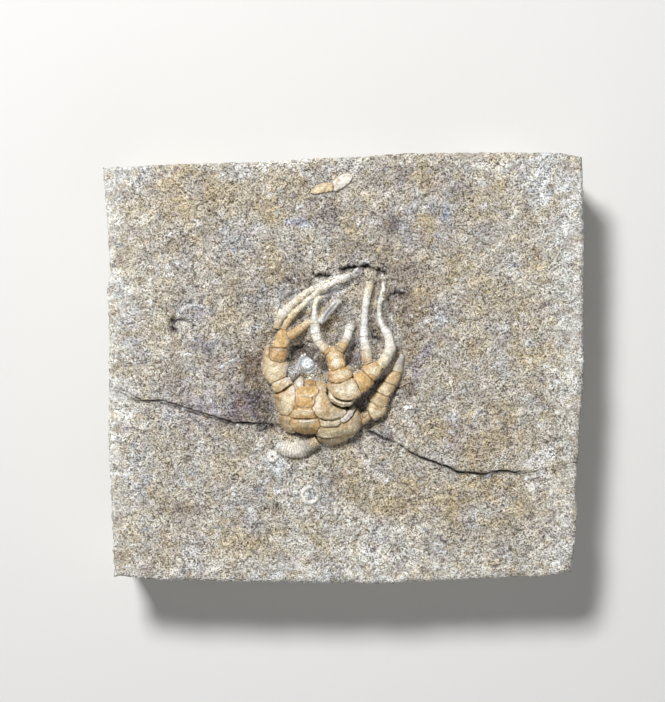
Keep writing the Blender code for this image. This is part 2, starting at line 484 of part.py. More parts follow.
def tube_mesh(path, support, resolution=2):
    """A tapering round tube along a path, flattened below where it meets its support."""
    curve = bpy.data.curves.new("path", "CURVE")
    curve.dimensions = "3D"
    curve.bevel_depth = 1.0
    curve.bevel_resolution = resolution
    curve.use_fill_caps = True
    spline = curve.splines.new("POLY")
    spline.points.add(len(path) - 1)
    for point, (x, y, height, width) in zip(spline.points, path):
        point.co = (x, y, height - width / 2, 1)
        point.radius = width / 2
    guide = bpy.data.objects.new("path", curve)
    bpy.context.scene.collection.objects.link(guide)
    mesh = bpy.data.meshes.new_from_object(guide.evaluated_get(bpy.context.evaluated_depsgraph_get()))
    bpy.data.objects.remove(guide)
    bm = bmesh.new()
    bm.from_mesh(mesh)
    bpy.data.meshes.remove(mesh)
    bmesh.ops.remove_doubles(bm, verts=bm.verts, dist=0.001)
    for vert in bm.verts:
        vert.co.z = max(vert.co.z, support(vert.co.x, vert.co.y) + GAP)
    bmesh.ops.triangulate(bm, faces=bm.faces)
    return bm


def columnal_mesh(x, y, radius, support, pore=False):
    """A low round stem disc, with or without the pore in its middle."""
    bottom = support(x, y) + GAP
    bm = bmesh.new()
    bmesh.ops.create_cone(bm, cap_ends=True, segments=16, radius1=radius, radius2=0.72 * radius,
                          depth=SMALL_RISE)
    bmesh.ops.translate(bm, vec=(x, y, bottom + SMALL_RISE / 2), verts=bm.verts)
    upper = max(bm.faces, key=lambda face: face.calc_center_median().z)
    bmesh.ops.inset_individual(bm, faces=[upper], thickness=0.3 * radius)
    step = -0.25 if pore else 0.15
    bmesh.ops.translate(bm, vec=(0, 0, step), verts=upper.verts)
    bmesh.ops.triangulate(bm, faces=bm.faces)
    return bm


def ring_path():
    x, y, radius = RING_COLUMNAL
    bearings = [RING_GAP[1] + (360 + RING_GAP[0] - RING_GAP[1]) * i / 16 for i in range(17)]
    top = ground(x, y) + GAP + 0.6
    return [(x + radius * cos(radians(b)), y + radius * sin(radians(b)), top, 2 * RING_THICKNESS)
            for b in bearings]


def shell_top(x, y):
    away = distance_to_lines(x, y, [SHELL_OUTLINE + SHELL_OUTLINE[:1]])
    return ground(x, y) + GAP + 0.3 + 0.4 * ease(away / 1.4)


clear_scene()
fossil = bpy.data.collections.new("crinoid_fossil")
bpy.context.scene.collection.children.link(fossil)

slab = build_slab()
on_slab = surface_finder([slab])
cup = build_cup(on_slab)
on_cup = surface_finder([slab, cup], reach=0.7)
build_base("left_arm_base", LEFT_BASE, on_slab, "orange_plate")
build_base("middle_arm_base", MIDDLE_BASE, on_cup, "cream_plate")
build_base("middle_arm_left_fork", MIDDLE_LEFT, on_cup, "orange_plate")
build_base("middle_arm_right_fork", MIDDLE_RIGHT, on_cup, "orange_plate")
build_base("right_arm_base", RIGHT_BASE, on_slab, "cup_tan")

for arm_name, arm_path in THIN_ARMS.items():
    add_object(arm_name, tube_mesh(pinched(arm_path, JOINT_SPACING), on_slab), "bleached_arm")

add_object("stem", tube_mesh(STEM, on_slab, resolution=4), "cream_plate")
add_object("disc_columnal", columnal_mesh(*DISC_COLUMNAL, on_slab), "columnal_white")
add_object("small_columnal", columnal_mesh(*SMALL_COLUMNAL, on_slab, pore=True), "columnal_white")
add_object("ring_columnal", tube_mesh(ring_path(), on_slab), "columnal_white")
add_object("shell_fragment", block_mesh(SHELL_OUTLINE, [], shell_top, on_slab, 1.4), "cream_plate")
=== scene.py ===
# A crinoid crown in relief on its slab of siltstone: the finished surface over its plain solids
import bpy
import numpy as np
from math import atan, cos, pi, radians, sin
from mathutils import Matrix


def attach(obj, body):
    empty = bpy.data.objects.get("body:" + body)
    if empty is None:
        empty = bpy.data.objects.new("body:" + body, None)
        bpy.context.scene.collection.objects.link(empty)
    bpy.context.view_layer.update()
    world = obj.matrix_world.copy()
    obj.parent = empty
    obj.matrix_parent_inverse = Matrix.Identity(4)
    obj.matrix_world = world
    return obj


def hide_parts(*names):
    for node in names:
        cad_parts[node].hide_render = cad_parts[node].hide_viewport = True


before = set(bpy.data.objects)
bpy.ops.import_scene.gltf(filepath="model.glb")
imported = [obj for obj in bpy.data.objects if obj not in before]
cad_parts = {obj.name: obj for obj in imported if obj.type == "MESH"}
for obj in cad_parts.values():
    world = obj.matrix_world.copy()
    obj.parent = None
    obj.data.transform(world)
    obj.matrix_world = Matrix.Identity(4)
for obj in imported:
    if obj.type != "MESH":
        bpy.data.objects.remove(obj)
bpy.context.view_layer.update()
mm = 0.001                              # lengths below are in mm, objects are made in metres
print("frame loaded:", len(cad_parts), "nodes")


# shared maths, on whole arrays of places
def easeIn(share):
    share = np.clip(share, 0, 1)
    return share * share * (3 - 2 * share)


def lumps(x, y, size, seed):            # smooth gradient noise from -1 to 1, lumps of the given size
    table = np.random.RandomState(seed).uniform(0, 2 * pi, (256, 256))
    u, v = x / size + 40.37, y / size + 71.13
    i, j = np.floor(u).astype(int), np.floor(v).astype(int)
    total = np.zeros(np.shape(u))
    for stepI in (0, 1):
        for stepJ in (0, 1):
            turn = table[(i + stepI) % 256, (j + stepJ) % 256]
            awayU, awayV = u - i - stepI, v - j - stepJ
            weight = easeIn(1 - abs(awayU)) * easeIn(1 - abs(awayV))
            total += weight * (np.cos(turn) * awayU + np.sin(turn) * awayV)
    return 1.6 * total


def turned(x, y, angle):                # plan turned by an angle, so layers of noise don't line up
    return x * cos(angle) - y * sin(angle), x * sin(angle) + y * cos(angle)


def moundAt(x, y, spotX, spotY, reachX, reachY):   # 1 in the middle, fading outwards in an oval
    return np.exp(-((x - spotX) / reachX) ** 2 - ((y - spotY) / reachY) ** 2)


def alongPath(x, y, path):              # distance to a path, and its other values at the nearest place
    best = np.full(np.shape(x), 1e9)
    values = [np.zeros(np.shape(x)) for _ in path[0][2:]]
    for start, end in zip(path, path[1:]):
        runX, runY = end[0] - start[0], end[1] - start[1]
        share = ((x - start[0]) * runX + (y - start[1]) * runY) / (runX ** 2 + runY ** 2 + 1e-12)
        share = np.clip(share, 0, 1)
        away = np.hypot(x - start[0] - share * runX, y - start[1] - share * runY)
        closer = away < best
        best = np.where(closer, away, best)
        for k in range(len(values)):
            here = start[k + 2] + share * (end[k + 2] - start[k + 2])
            values[k] = np.where(closer, here, values[k])
    return best, values


def sideOf(x, y, path):                 # distance to a path, above 0 on its left hand
    best, values = alongPath(x, y, [(*point, k) for k, point in enumerate(path)])
    share = values[-1]
    k = np.clip(np.floor(share - 1e-9), 0, len(path) - 2).astype(int)
    spots = np.array([point[:2] for point in path])
    run = spots[k + 1] - spots[k]
    cross = run[..., 0] * (y - spots[k, 1]) - run[..., 1] * (x - spots[k, 0])
    return best * np.where(cross > 0, 1, -1), values[:-1]


def insideBy(x, y, outline):            # distance to an outline, above 0 inside it
    closed = list(outline) + [outline[0]]
    away, _ = alongPath(x, y, closed)
    inside = np.zeros(np.shape(x), bool)
    for (x0, y0), (x1, y1) in zip(closed, closed[1:]):
        if y0 != y1:
            inside ^= ((y0 > y) != (y1 > y)) & (x < x0 + (x1 - x0) * (y - y0) / (y1 - y0))
    return np.where(inside, away, -away)


def readOff(value, pairs, column=1):
    return np.interp(value, [pair[0] for pair in pairs], [pair[column] for pair in pairs])


# the arms: x, y, height of the upper side, width
armPaths = {
    "left_arm_inner_branch": [(-11.0, 6.3, 19.9, 1.9), (-9.9, 7.0, 19.7, 1.9), (-9.0, 7.6, 19.5, 1.7),
                              (-8.0, 8.4, 19.3, 1.5), (-7.0, 9.2, 19.0, 1.5), (-6.4, 9.7, 18.7, 1.4)],
    "left_arm_outer_branch": [(-13.3, 7.9, 19.2, 1.6), (-12.9, 9.6, 19.4, 2.0), (-12.0, 11.0, 19.4, 2.0),
                              (-10.9, 12.2, 19.2, 1.7), (-9.8, 13.2, 19.0, 1.5), (-8.6, 14.2, 18.9, 1.5),
                              (-7.3, 15.2, 18.8, 1.4), (-6.0, 16.0, 18.7, 1.2), (-4.8, 16.7, 18.6, 1.0),
                              (-3.2, 17.5, 18.4, 0.8), (-1.8, 18.1, 18.2, 0.6)],
    "left_arm_middle_branch": [(-12.1, 7.8, 19.4, 1.4), (-11.3, 9.4, 19.3, 1.3), (-10.5, 10.5, 19.2, 1.2),
                               (-9.6, 11.4, 19.1, 1.2), (-8.7, 12.2, 19.0, 1.1), (-7.6, 13.2, 18.9, 1.1),
                               (-6.6, 14.1, 18.9, 1.1), (-5.6, 14.9, 19.1, 1.3), (-4.6, 15.6, 19.2, 1.7),
                               (-3.2, 16.5, 18.9, 1.3), (-1.6, 17.3, 18.8, 1.4), (0.2, 18.1, 18.4, 1.4),
                               (1.5, 18.7, 18.1, 1.0)],
    "middle_arm_first": [(-3.0, 3.3, 21.3, 1.7), (-3.75, 3.95, 21.0, 1.75), (-4.4, 4.6, 20.8, 1.75),
                         (-5.0, 5.3, 20.6, 1.85), (-5.4, 6.5, 20.4, 2.0), (-5.6, 7.6, 20.1, 2.0),
                         (-5.7, 8.6, 19.9, 1.9), (-5.75, 9.6, 19.9, 1.8), (-5.8, 10.6, 19.8, 1.5),
                         (-5.8, 11.6, 19.7, 1.3), (-5.75, 12.6, 19.6, 1.25), (-5.45, 13.4, 19.5, 1.2),
                         (-4.9, 14.0, 19.4, 1.1), (-4.2, 14.25, 19.2, 1.0)],
    "middle_arm_strand": [(-4.8, 9.2, 19.8, 1.2), (-4.1, 9.9, 19.6, 1.5), (-3.4, 10.6, 19.5, 1.5),
                          (-2.6, 11.6, 19.3, 1.5), (-1.8, 12.6, 19.1, 1.4), (-1.0, 13.5, 18.9, 1.1)],
    "middle_arm_second": [(-0.7, 3.5, 21.2, 1.5), (-0.35, 4.05, 21.0, 1.6), (0.1, 4.9, 20.8, 1.6),
                          (0.6, 5.8, 20.6, 1.6), (0.9, 6.8, 20.5, 1.7), (1.2, 7.7, 20.3, 1.7),
                          (1.55, 8.8, 20.2, 1.6)],
    "middle_arm_third": [(5.0, 1.05, 21.4, 2.0), (4.8, 1.6, 21.1, 2.2), (4.6, 2.6, 20.9, 2.2),
                         (4.5, 3.7, 20.7, 1.9), (4.2, 5.0, 20.5, 1.8), (4.1, 6.4, 20.3, 1.7),
                         (4.1, 7.6, 20.0, 1.6), (4.1, 8.7, 19.8, 1.5), (4.2, 10.0, 19.6, 1.4),
                         (4.3, 11.5, 19.4, 1.4), (4.5, 13.0, 19.2, 1.4), (4.7, 14.4, 19.0, 1.5),
                         (5.0, 15.8, 18.8, 1.6), (5.4, 17.4, 18.6, 1.5)],
    "middle_arm_fourth": [(7.3, 0.5, 21.2, 1.9), (7.9, 1.25, 20.9, 2.1), (8.5, 2.1, 20.7, 2.2),
                          (9.0, 3.0, 20.4, 2.2), (9.3, 4.0, 20.2, 2.1), (9.3, 5.0, 20.0, 2.0),
                          (9.1, 6.3, 19.7, 2.0), (8.6, 7.2, 19.5, 1.7), (7.9, 8.2, 19.3, 1.5),
                          (7.4, 9.2, 19.2, 1.2), (7.2, 10.2, 19.0, 1.0), (7.1, 11.5, 18.9, 0.9),
                          (7.3, 13.0, 18.8, 0.95), (7.7, 14.6, 18.6, 1.0), (8.0, 16.0, 18.5, 1.0),
                          (8.1, 17.4, 18.3, 0.8)],
    "right_arm_tip": [(10.7, -0.6, 18.6, 2.0), (11.0, 0.3, 18.6, 2.0), (11.3, 1.2, 18.4, 1.8),
                      (11.6, 2.1, 18.2, 1.4), (11.8, 2.9, 18.0, 1.0)]}


# the slab: its levels and edges are those of its solid
slabForm = {
    "level": 18.0, "halfWidth": 47.9,
    "reachAbove": 54, "reachBelow": 29,           # how far the face runs above and below the crack
    "columns": 300, "rowsAbove": 172, "rowsBelow": 82, "sideLevels": 15,
    "baseRings": (0.9, 0.7, 0.4), "baseLift": 0.45,
    "topEdge": [(-48.0, 40.2), (-33.5, 40.9), (-16.7, 41.3), (-4.7, 42.1), (4.9, 42.5), (12.1, 43.1),
                (30.0, 43.3), (43.3, 43.1), (47.9, 42.3)],
    "bottomEdge": [(-45.9, -41.6), (-39.1, -42.3), (-19.1, -42.7), (7.3, -43.1), (24.1, -42.3),
                   (43.3, -41.5), (45.9, -40.8)],
    "leftEdge": [(-41.6, -45.9), (-37.5, -46.1), (-25.5, -46.5), (-13.5, -47.1), (5.7, -46.9),
                 (15.3, -47.3), (20.1, -46.7), (32.1, -47.5), (40.2, -48.2)],
    "rightEdge": [(-40.8, 45.6), (-32.7, 46.5), (-27.9, 46.9), (-25.5, 46.3), (-13.5, 47.3),
                  (-3.9, 48.1), (27.3, 48.1), (34.5, 47.9), (42.3, 47.9)],
    # x, y, depth, half width
    "crack": [(-48.5, -3.6, 0.05, 0.1), (-44.4, -4.6, 0.4, 0.1), (-43.0, -5.6, 0.6, 0.12),
              (-41.4, -6.4, 0.6, 0.12), (-37.1, -6.4, 0.6, 0.12), (-32.5, -7.8, 0.8, 0.14),
              (-28.3, -9.1, 0.9, 0.14), (-22.3, -10.9, 0.9, 0.14), (-16.7, -11.0, 0.7, 0.12),
              (-13.7, -11.3, 0.3, 0.1),
              (4.0, -12.3, 0.4, 0.14), (6.3, -12.9, 0.7, 0.18), (7.9, -13.9, 0.8, 0.2),
              (9.3, -14.3, 0.7, 0.18), (10.7, -14.7, 0.3, 0.12), (11.7, -15.5, 0.7, 0.18),
              (14.0, -17.0, 0.9, 0.2), (16.5, -18.0, 0.9, 0.2), (19.5, -19.1, 0.9, 0.2),
              (21.5, -19.7, 1.0, 0.22), (22.9, -20.6, 1.1, 0.24), (25.6, -20.9, 1.0, 0.24),
              (28.9, -21.2, 1.1, 0.26), (30.3, -20.8, 1.0, 0.22), (32.7, -20.4, 0.9, 0.22),
              (34.7, -20.9, 0.7, 0.18), (36.5, -20.6, 0.3, 0.12), (38.9, -20.8, 0.4, 0.14),
              (40.9, -20.2, 0.2, 0.12), (45.0, -19.4, 0.3, 0.12), (48.5, -18.5, 0.5, 0.16)],
    "hollowCentre": (-1.0, 0.0), "hollowDepth": 2.0,
    # bearing in degrees, reach, width of the bank
    "hollowRim": [(0, 16.4, 5.0), (30, 16.6, 3.0), (45, 20.2, 2.2), (65, 22.0, 2.6), (86, 21.0, 2.6),
                  (114, 19.7, 2.6), (136, 18.7, 4.0), (160, 17.8, 6.0), (202, 21.0, 7.0),
                  (242, 23.5, 8.0), (293, 18.0, 6.0), (322, 17.8, 5.0), (360, 16.4, 5.0)],
    # swells and dips of the face: x, y, reach in x, reach in y, rise
    "swells": [(-0.5, 11.0, 6.5, 7.0, 1.1), (1.5, -2.0, 3.2, 3.4, 2.6), (8.4, -0.8, 1.7, 3.6, -0.7),
               (-7.2, 1.2, 3.0, 2.6, -0.3), (-9.9, -1.3, 1.5, 1.3, 4.4), (-10.9, 0.2, 0.9, 1.2, 2.2),
               (-9.3, -14.3, 3.2, 1.2, 1.3), (-13.8, -10.8, 1.0, 2.0, 0.6), (4.6, -6.8, 1.3, 1.6, 2.0),
               (6.6, -4.2, 1.2, 1.6, 0.8), (-30.4, 9.4, 3.4, 3.0, -0.9), (-33.5, 8.4, 1.0, 1.5, -1.0)],
}

matrixRelief = {
    "grain": 0.06, "coarse": 0.11, "waves": 0.16,    # rough matrix, from fine to broad
    "tooled": 0.2,                                    # marks of the preparation tool in the hollow
    "bedding": 1.12,                                  # how far down an arm's side the matrix reaches
    "ledgeDrop": 1.3,                                 # how deep the small broken edges fall
    "flakes": 460, "flakeRise": 0.14,
    "calm": (-7.15, 0.95, 3.1),                       # where the disc lies the matrix is smoother
}

ledges = [  # x, y, drop: low on the side to the right of the way it runs
    [(-6.6, 19.0, 0), (-5.8, 19.2, 0.9), (-4.5, 18.9, 1.2), (-2.9, 18.9, 0.9), (-2.0, 18.8, 0)],
    [(-1.2, 20.0, 0), (-0.4, 20.3, 1.6), (2.0, 20.8, 2.2), (3.8, 20.9, 2.1), (5.5, 20.6, 1.5),
     (6.2, 20.2, 0)],
    [(6.3, 20.1, 0), (6.9, 20.0, 1.2), (8.4, 19.6, 1.3), (9.2, 19.0, 0)],
    [(9.3, 18.3, 0), (9.9, 18.2, 0.6), (11.2, 17.6, 0.6), (11.7, 17.2, 0)],
    [(9.2, 14.6, 0), (9.6, 15.1, 0.8), (10.6, 15.6, 0.9), (12.1, 15.1, 0.7), (12.6, 14.8, 0)],
    [(8.1, 13.7, 0), (8.6, 14.1, 0.7), (9.2, 14.1, 0)],
    [(5.7, 6.5, 0), (6.1, 6.4, 0.8), (7.0, 6.0, 0.8), (8.0, 5.7, 0.5), (8.2, 5.5, 0)],
    [(0.9, 4.1, 0), (1.6, 4.5, 0.7), (2.5, 4.9, 0.6), (3.0, 4.9, 0)],
    [(11.8, 9.4, 0), (12.3, 9.3, 0.6), (13.5, 8.6, 0.6), (14.0, 8.4, 0)],
    [(-10.9, 4.3, 0), (-10.2, 4.5, 1.0), (-9.0, 4.65, 1.1), (-7.9, 4.8, 0.9), (-7.5, 4.8, 0)],
    [(-7.8, 5.2, 0), (-7.3, 5.4, 1.1), (-6.4, 5.3, 1.1), (-6.0, 5.2, 0)],
    [(-11.6, 14.0, 0), (-10.6, 14.8, 0.5), (-8.6, 15.4, 0.4), (-6.8, 16.9, 0.5), (-4.8, 17.8, 0)],
    [(-13.6, 16.3, 0), (-12.0, 17.3, 0.4), (-9.6, 17.9, 0.4), (-8.3, 17.8, 0)],
    [(-31.3, 13.8, 0), (-30.3, 13.7, 0.6), (-29.2, 13.2, 0)],
    [(-30.6, 8.9, 0), (-30.0, 8.8, 0.7), (-29.3, 8.4, 0)],
    [(-35.0, 10.2, 0), (-34.0, 9.7, 0.7), (-33.0, 9.8, 0.5), (-32.5, 9.6, 0)],
    [(-34.8, 8.6, 0), (-34.2, 8.4, 1.0), (-33.4, 7.7, 1.0), (-32.7, 7.2, 0)],
    [(-0.9, -14.9, 0), (2.0, -14.6, 0.3), (4.2, -12.9, 0.4), (6.3, -12.2, 0)],
    [(-16.5, -8.5, 0), (-15.3, -8.2, 0.6), (-14.3, -8.6, 0.6), (-13.8, -9.0, 0)],
]


def dropOffs(x, y):                     # small broken edges in the matrix, steep on one side
    total = np.zeros(np.shape(x))
    shiftX, shiftY = 0.35 * lumps(x, y, 0.9, 15), 0.35 * lumps(x, y, 0.8, 16)
    for ledge in ledges:
        spots = np.array(ledge)[:, :2]
        near = (x > spots[:, 0].min() - 3) & (x < spots[:, 0].max() + 3)
        near &= (y > spots[:, 1].min() - 3) & (y < spots[:, 1].max() + 3)
        if near.any():
            side, (drop,) = sideOf((x + shiftX)[near], (y + shiftY)[near], ledge)
            low = easeIn(0.5 - side / 0.14) * np.exp(-abs(side) / 0.55)
            lip = 0.15 * easeIn(0.5 + side / 0.3) * np.exp(-abs(side) / 0.6)
            total[near] += matrixRelief["ledgeDrop"] * drop * (low - lip)
    return total


def smoothGround(x, y):                 # the upper face without its grain, and how far in the hollow
    centreX, centreY = slabForm["hollowCentre"]
    bearing = np.degrees(np.arctan2(y - centreY, x - centreX)) % 360
    reach = readOff(bearing, slabForm["hollowRim"])
    bank = readOff(bearing, slabForm["hollowRim"], 2)
    ragged = 0.55 * lumps(x, y, 2.6, 11) + 0.3 * lumps(x, y, 0.9, 12)
    inward = reach + ragged - np.hypot(x - centreX, y - centreY)
    share = 0.55 * easeIn(inward / bank) + 0.45 * easeIn((inward - 0.7 * bank) / bank)
    height = slabForm["level"] - slabForm["hollowDepth"] * share
    height += 0.2 * np.sin(x / 11 + 0.6) * np.cos(y / 13 - 0.4)
    height += 0.1 * np.sin(x / 5.3 + y / 7.1 + 1.1)
    for spotX, spotY, reachX, reachY, rise in slabForm["swells"]:
        height += rise * moundAt(x, y, spotX, spotY, reachX, reachY)
    return height, share


def groundHeight(x, y):
    height, hollow = smoothGround(x, y)
    for path in armPaths.values():       # matrix left standing under each arm
        away, (top, width) = alongPath(x, y, path)
        half = width / 2
        bed = top - matrixRelief["bedding"] * half + 0.12 * lumps(x, y, 1.3, 21)
        bank = (away - 0.75 * half) / (0.5 + 0.75 * np.maximum(bed - height, 0))
        height = np.maximum(height, bed - (bed - height) * easeIn(bank))
    slantX, slantY = turned(x, y, 0.7)
    rough = matrixRelief["waves"] * lumps(slantX, slantY, 3.1, 1)
    nearCrown = np.exp(-((x + 1) ** 2 + (y - 1) ** 2) / 420)
    rough += matrixRelief["coarse"] * (1 + 1.4 * nearCrown) * lumps(x, y, 1.15, 2)
    fine = lumps(slantX, slantY, 0.62, 3) + 0.9 * lumps(x, y, 0.41, 4)
    rough += matrixRelief["grain"] * (1 + 1.2 * nearCrown) * fine
    strokes = lumps(slantX / 2.6, slantY, 0.6, 5) + 0.6 * lumps(slantY / 3, slantX, 0.8, 6)
    rough += matrixRelief["tooled"] * strokes * hollow
    discX, discY, reach = matrixRelief["calm"]
    rough *= 1 - 0.9 * easeIn((reach - np.hypot(x - discX, y - discY)) / 0.7)
    return height + rough - dropOffs(x, y)


def spacedOut(low, high, count, centre, reach, closer):   # places that crowd together at the centre
    places = np.linspace(low, high, 4000)
    total = np.cumsum(1 + closer * np.exp(-((places - centre) / reach) ** 2))
    total = (total - total[0]) / (total[-1] - total[0])
    return np.interp(np.linspace(0, 1, count), total, places)


def edgeChips(along, seed):             # small scallops broken out of the slab's edge
    return 0.2 * lumps(along, 0 * along, 1.3, seed) + 0.1 * lumps(along, 0 * along, 0.6, seed + 1)


def crackLine(x):
    wander = 0.18 * lumps(x, 0 * x, 1.4, 41) + 0.1 * lumps(x, 0 * x, 0.5, 42)
    return readOff(x, slabForm["crack"]) + wander


def slabGrid():
    form = slabForm
    nearCrack = [0.12, 0.24, 0.4]
    above = np.append(nearCrack, spacedOut(0.7, form["reachAbove"], form["rowsAbove"], 14, 20, 0.8))
    below = np.append(nearCrack, spacedOut(0.7, form["reachBelow"], form["rowsBelow"], 0, 10, 0.5))
    rows = np.concatenate([-below[::-1] / form["reachBelow"], [0], above / form["reachAbove"]])
    halfWidth = form["halfWidth"]
    columns = spacedOut(-halfWidth, halfWidth, form["columns"], -1, 21, 0.8)
    x, row = np.meshgrid(columns, rows)
    crackY = crackLine(x)
    top = readOff(x, form["topEdge"]) + edgeChips(x, 31)
    bottom = readOff(x, form["bottomEdge"]) + edgeChips(x, 33)
    y = crackY + np.where(row > 0, row * (top - crackY), row * (crackY - bottom))
    away = abs(y - crackY)
    left = readOff(y, form["leftEdge"]) + edgeChips(y, 35)
    right = readOff(y, form["rightEdge"]) + edgeChips(y, 37)
    share = (x + halfWidth) / (2 * halfWidth)
    x = left + (right - left) * share
    toEdge = np.minimum.reduce([x - left, right - x, top - y, y - bottom])
    return x, y, away, toEdge


def slabMesh():                         # points, faces, and how far down the sides each point lies
    x, y, crackAway, toEdge = slabGrid()
    height = groundHeight(x, y)
    depth, half = readOff(x, slabForm["crack"], 2), readOff(x, slabForm["crack"], 3)
    depth = depth * (1 + 0.5 * lumps(x, 0 * x, 2.0, 43))
    height -= depth * easeIn(1 - crackAway / (half + 0.12))
    chipped = np.maximum(0, lumps(x, y, 3.2, 51) + 0.15)
    height -= 0.45 * np.exp(-toEdge / 0.3) + 0.9 * chipped * np.exp(-toEdge / 0.9)
    rowCount, columnCount = x.shape
    points = np.stack([x, y, height], -1).reshape(-1, 3)
    index = np.arange(rowCount * columnCount).reshape(rowCount, columnCount)
    quads = np.stack([index[:-1, :-1], index[:-1, 1:], index[1:, 1:], index[1:, :-1]], -1).reshape(-1, 4)
    ring = np.concatenate([index[0, :-1], index[:-1, -1], index[-1, :0:-1], index[:0:-1, 0]])
    sides, sideQuads = slabSides(points[ring], len(points), ring)
    faces = [tuple(quad) for quad in quads.tolist() + sideQuads.tolist()]
    centre = len(points) + len(sides)
    last = np.arange(centre - len(ring), centre)
    faces += [(centre, after, this) for this, after in zip(last.tolist(), np.roll(last, -1).tolist())]
    points = np.concatenate([points, sides, [[0, 0, slabForm["baseLift"] + 0.15]]])
    onTop = np.arange(len(points)) < rowCount * columnCount
    drop = np.where(onTop, 0, slabForm["level"] - 0.5 - points[:, 2])
    return points, faces, np.maximum(drop, 0)


def evened(line, times):                # a closed line with its small chips smoothed away
    for _ in range(times):
        line = 0.5 * line + 0.25 * np.roll(line, 1, 0) + 0.25 * np.roll(line, -1, 0)
    return line


def slabSides(rim, firstIndex, ring):   # broken stone faces down to the base, and the base's own rings
    levels = slabForm["sideLevels"]
    plain = evened(rim, 60)
    run = np.roll(plain, -4, 0) - np.roll(plain, 4, 0)
    out = np.stack([run[:, 1], -run[:, 0]], -1)
    out /= np.linalg.norm(out, axis=1)[:, None]
    along = np.cumsum(np.linalg.norm(rim - np.roll(rim, 1, 0), axis=1))
    meeting = easeIn(np.minimum(along, along[-1] - along) / 3)
    layers = []
    for level in range(1, levels + 1):
        share = level / levels
        z = rim[:, 2] * (1 - share)
        push = 0.45 * lumps(along, 1.3 * z, 7.5, 61) + 0.32 * lumps(along + z, 1.7 * z, 2.8, 62)
        push += 0.2 * lumps(along, 1.5 * z, 1.25, 63)
        push += 0.22 * lumps(0.15 * along, z, 1.5, 66)       # bedding layers
        push = (push * meeting - 0.3 - 0.2 * share) * easeIn(share * 5)
        push -= 0.5 * easeIn((share - 0.9) / 0.1)
        base = rim + (plain - rim) * easeIn(share * 4)
        layers.append(np.concatenate([base[:, :2] + out * push[:, None], z[:, None]], 1))
    for share in slabForm["baseRings"]:
        flat = layers[levels - 1][:, :2] * share
        z = slabForm["baseLift"] + 0.15 * lumps(flat[:, 0], flat[:, 1], 6.0, 67)
        layers.append(np.concatenate([flat, z[:, None]], 1))
    below = firstIndex + np.arange(len(layers) * len(ring)).reshape(len(layers), len(ring))
    index = np.concatenate([ring[None, :], below])
    after = np.roll(index, -1, 1)
    quads = np.stack([index[:-1], index[1:], after[1:], after[:-1]], -1).reshape(-1, 4)
    return np.concatenate(layers), quads


# colours of stone and fossil, in linear light
shades = {
    "matrix": (0.58, 0.53, 0.44), "pale": (0.82, 0.8, 0.73), "white": (0.9, 0.89, 0.86),
    "cool": (0.53, 0.53, 0.53), "blue": (0.33, 0.35, 0.4), "dark": (0.21, 0.18, 0.19),
    "tan": (0.5, 0.41, 0.29), "ochre": (0.53, 0.43, 0.27), "rose": (0.5, 0.43, 0.39),
    "honey": (0.7, 0.47, 0.2), "orange": (0.6, 0.35, 0.12), "brown": (0.32, 0.19, 0.08),
    "buff": (0.6, 0.44, 0.25), "cream": (0.82, 0.71, 0.49), "chalk": (0.86, 0.82, 0.74),
    "ash": (0.42, 0.4, 0.36), "olive": (0.46, 0.4, 0.25), "rust": (0.52, 0.28, 0.11),
    # the black is painted shade in the crack, at the small broken edges, in pits and under arms, and dark
    # stain left of the cup
    "blackShadeAndStain": (0.04, 0.033, 0.03), "plum": (0.17, 0.125, 0.14), "navy": (0.07, 0.07, 0.09),
    "violet": (0.36, 0.325, 0.37), "umber": (0.25, 0.19, 0.135), "frost": (0.74, 0.76, 0.75),
    "ice": (0.88, 0.93, 0.97), "azure": (0.4, 0.47, 0.62),
}

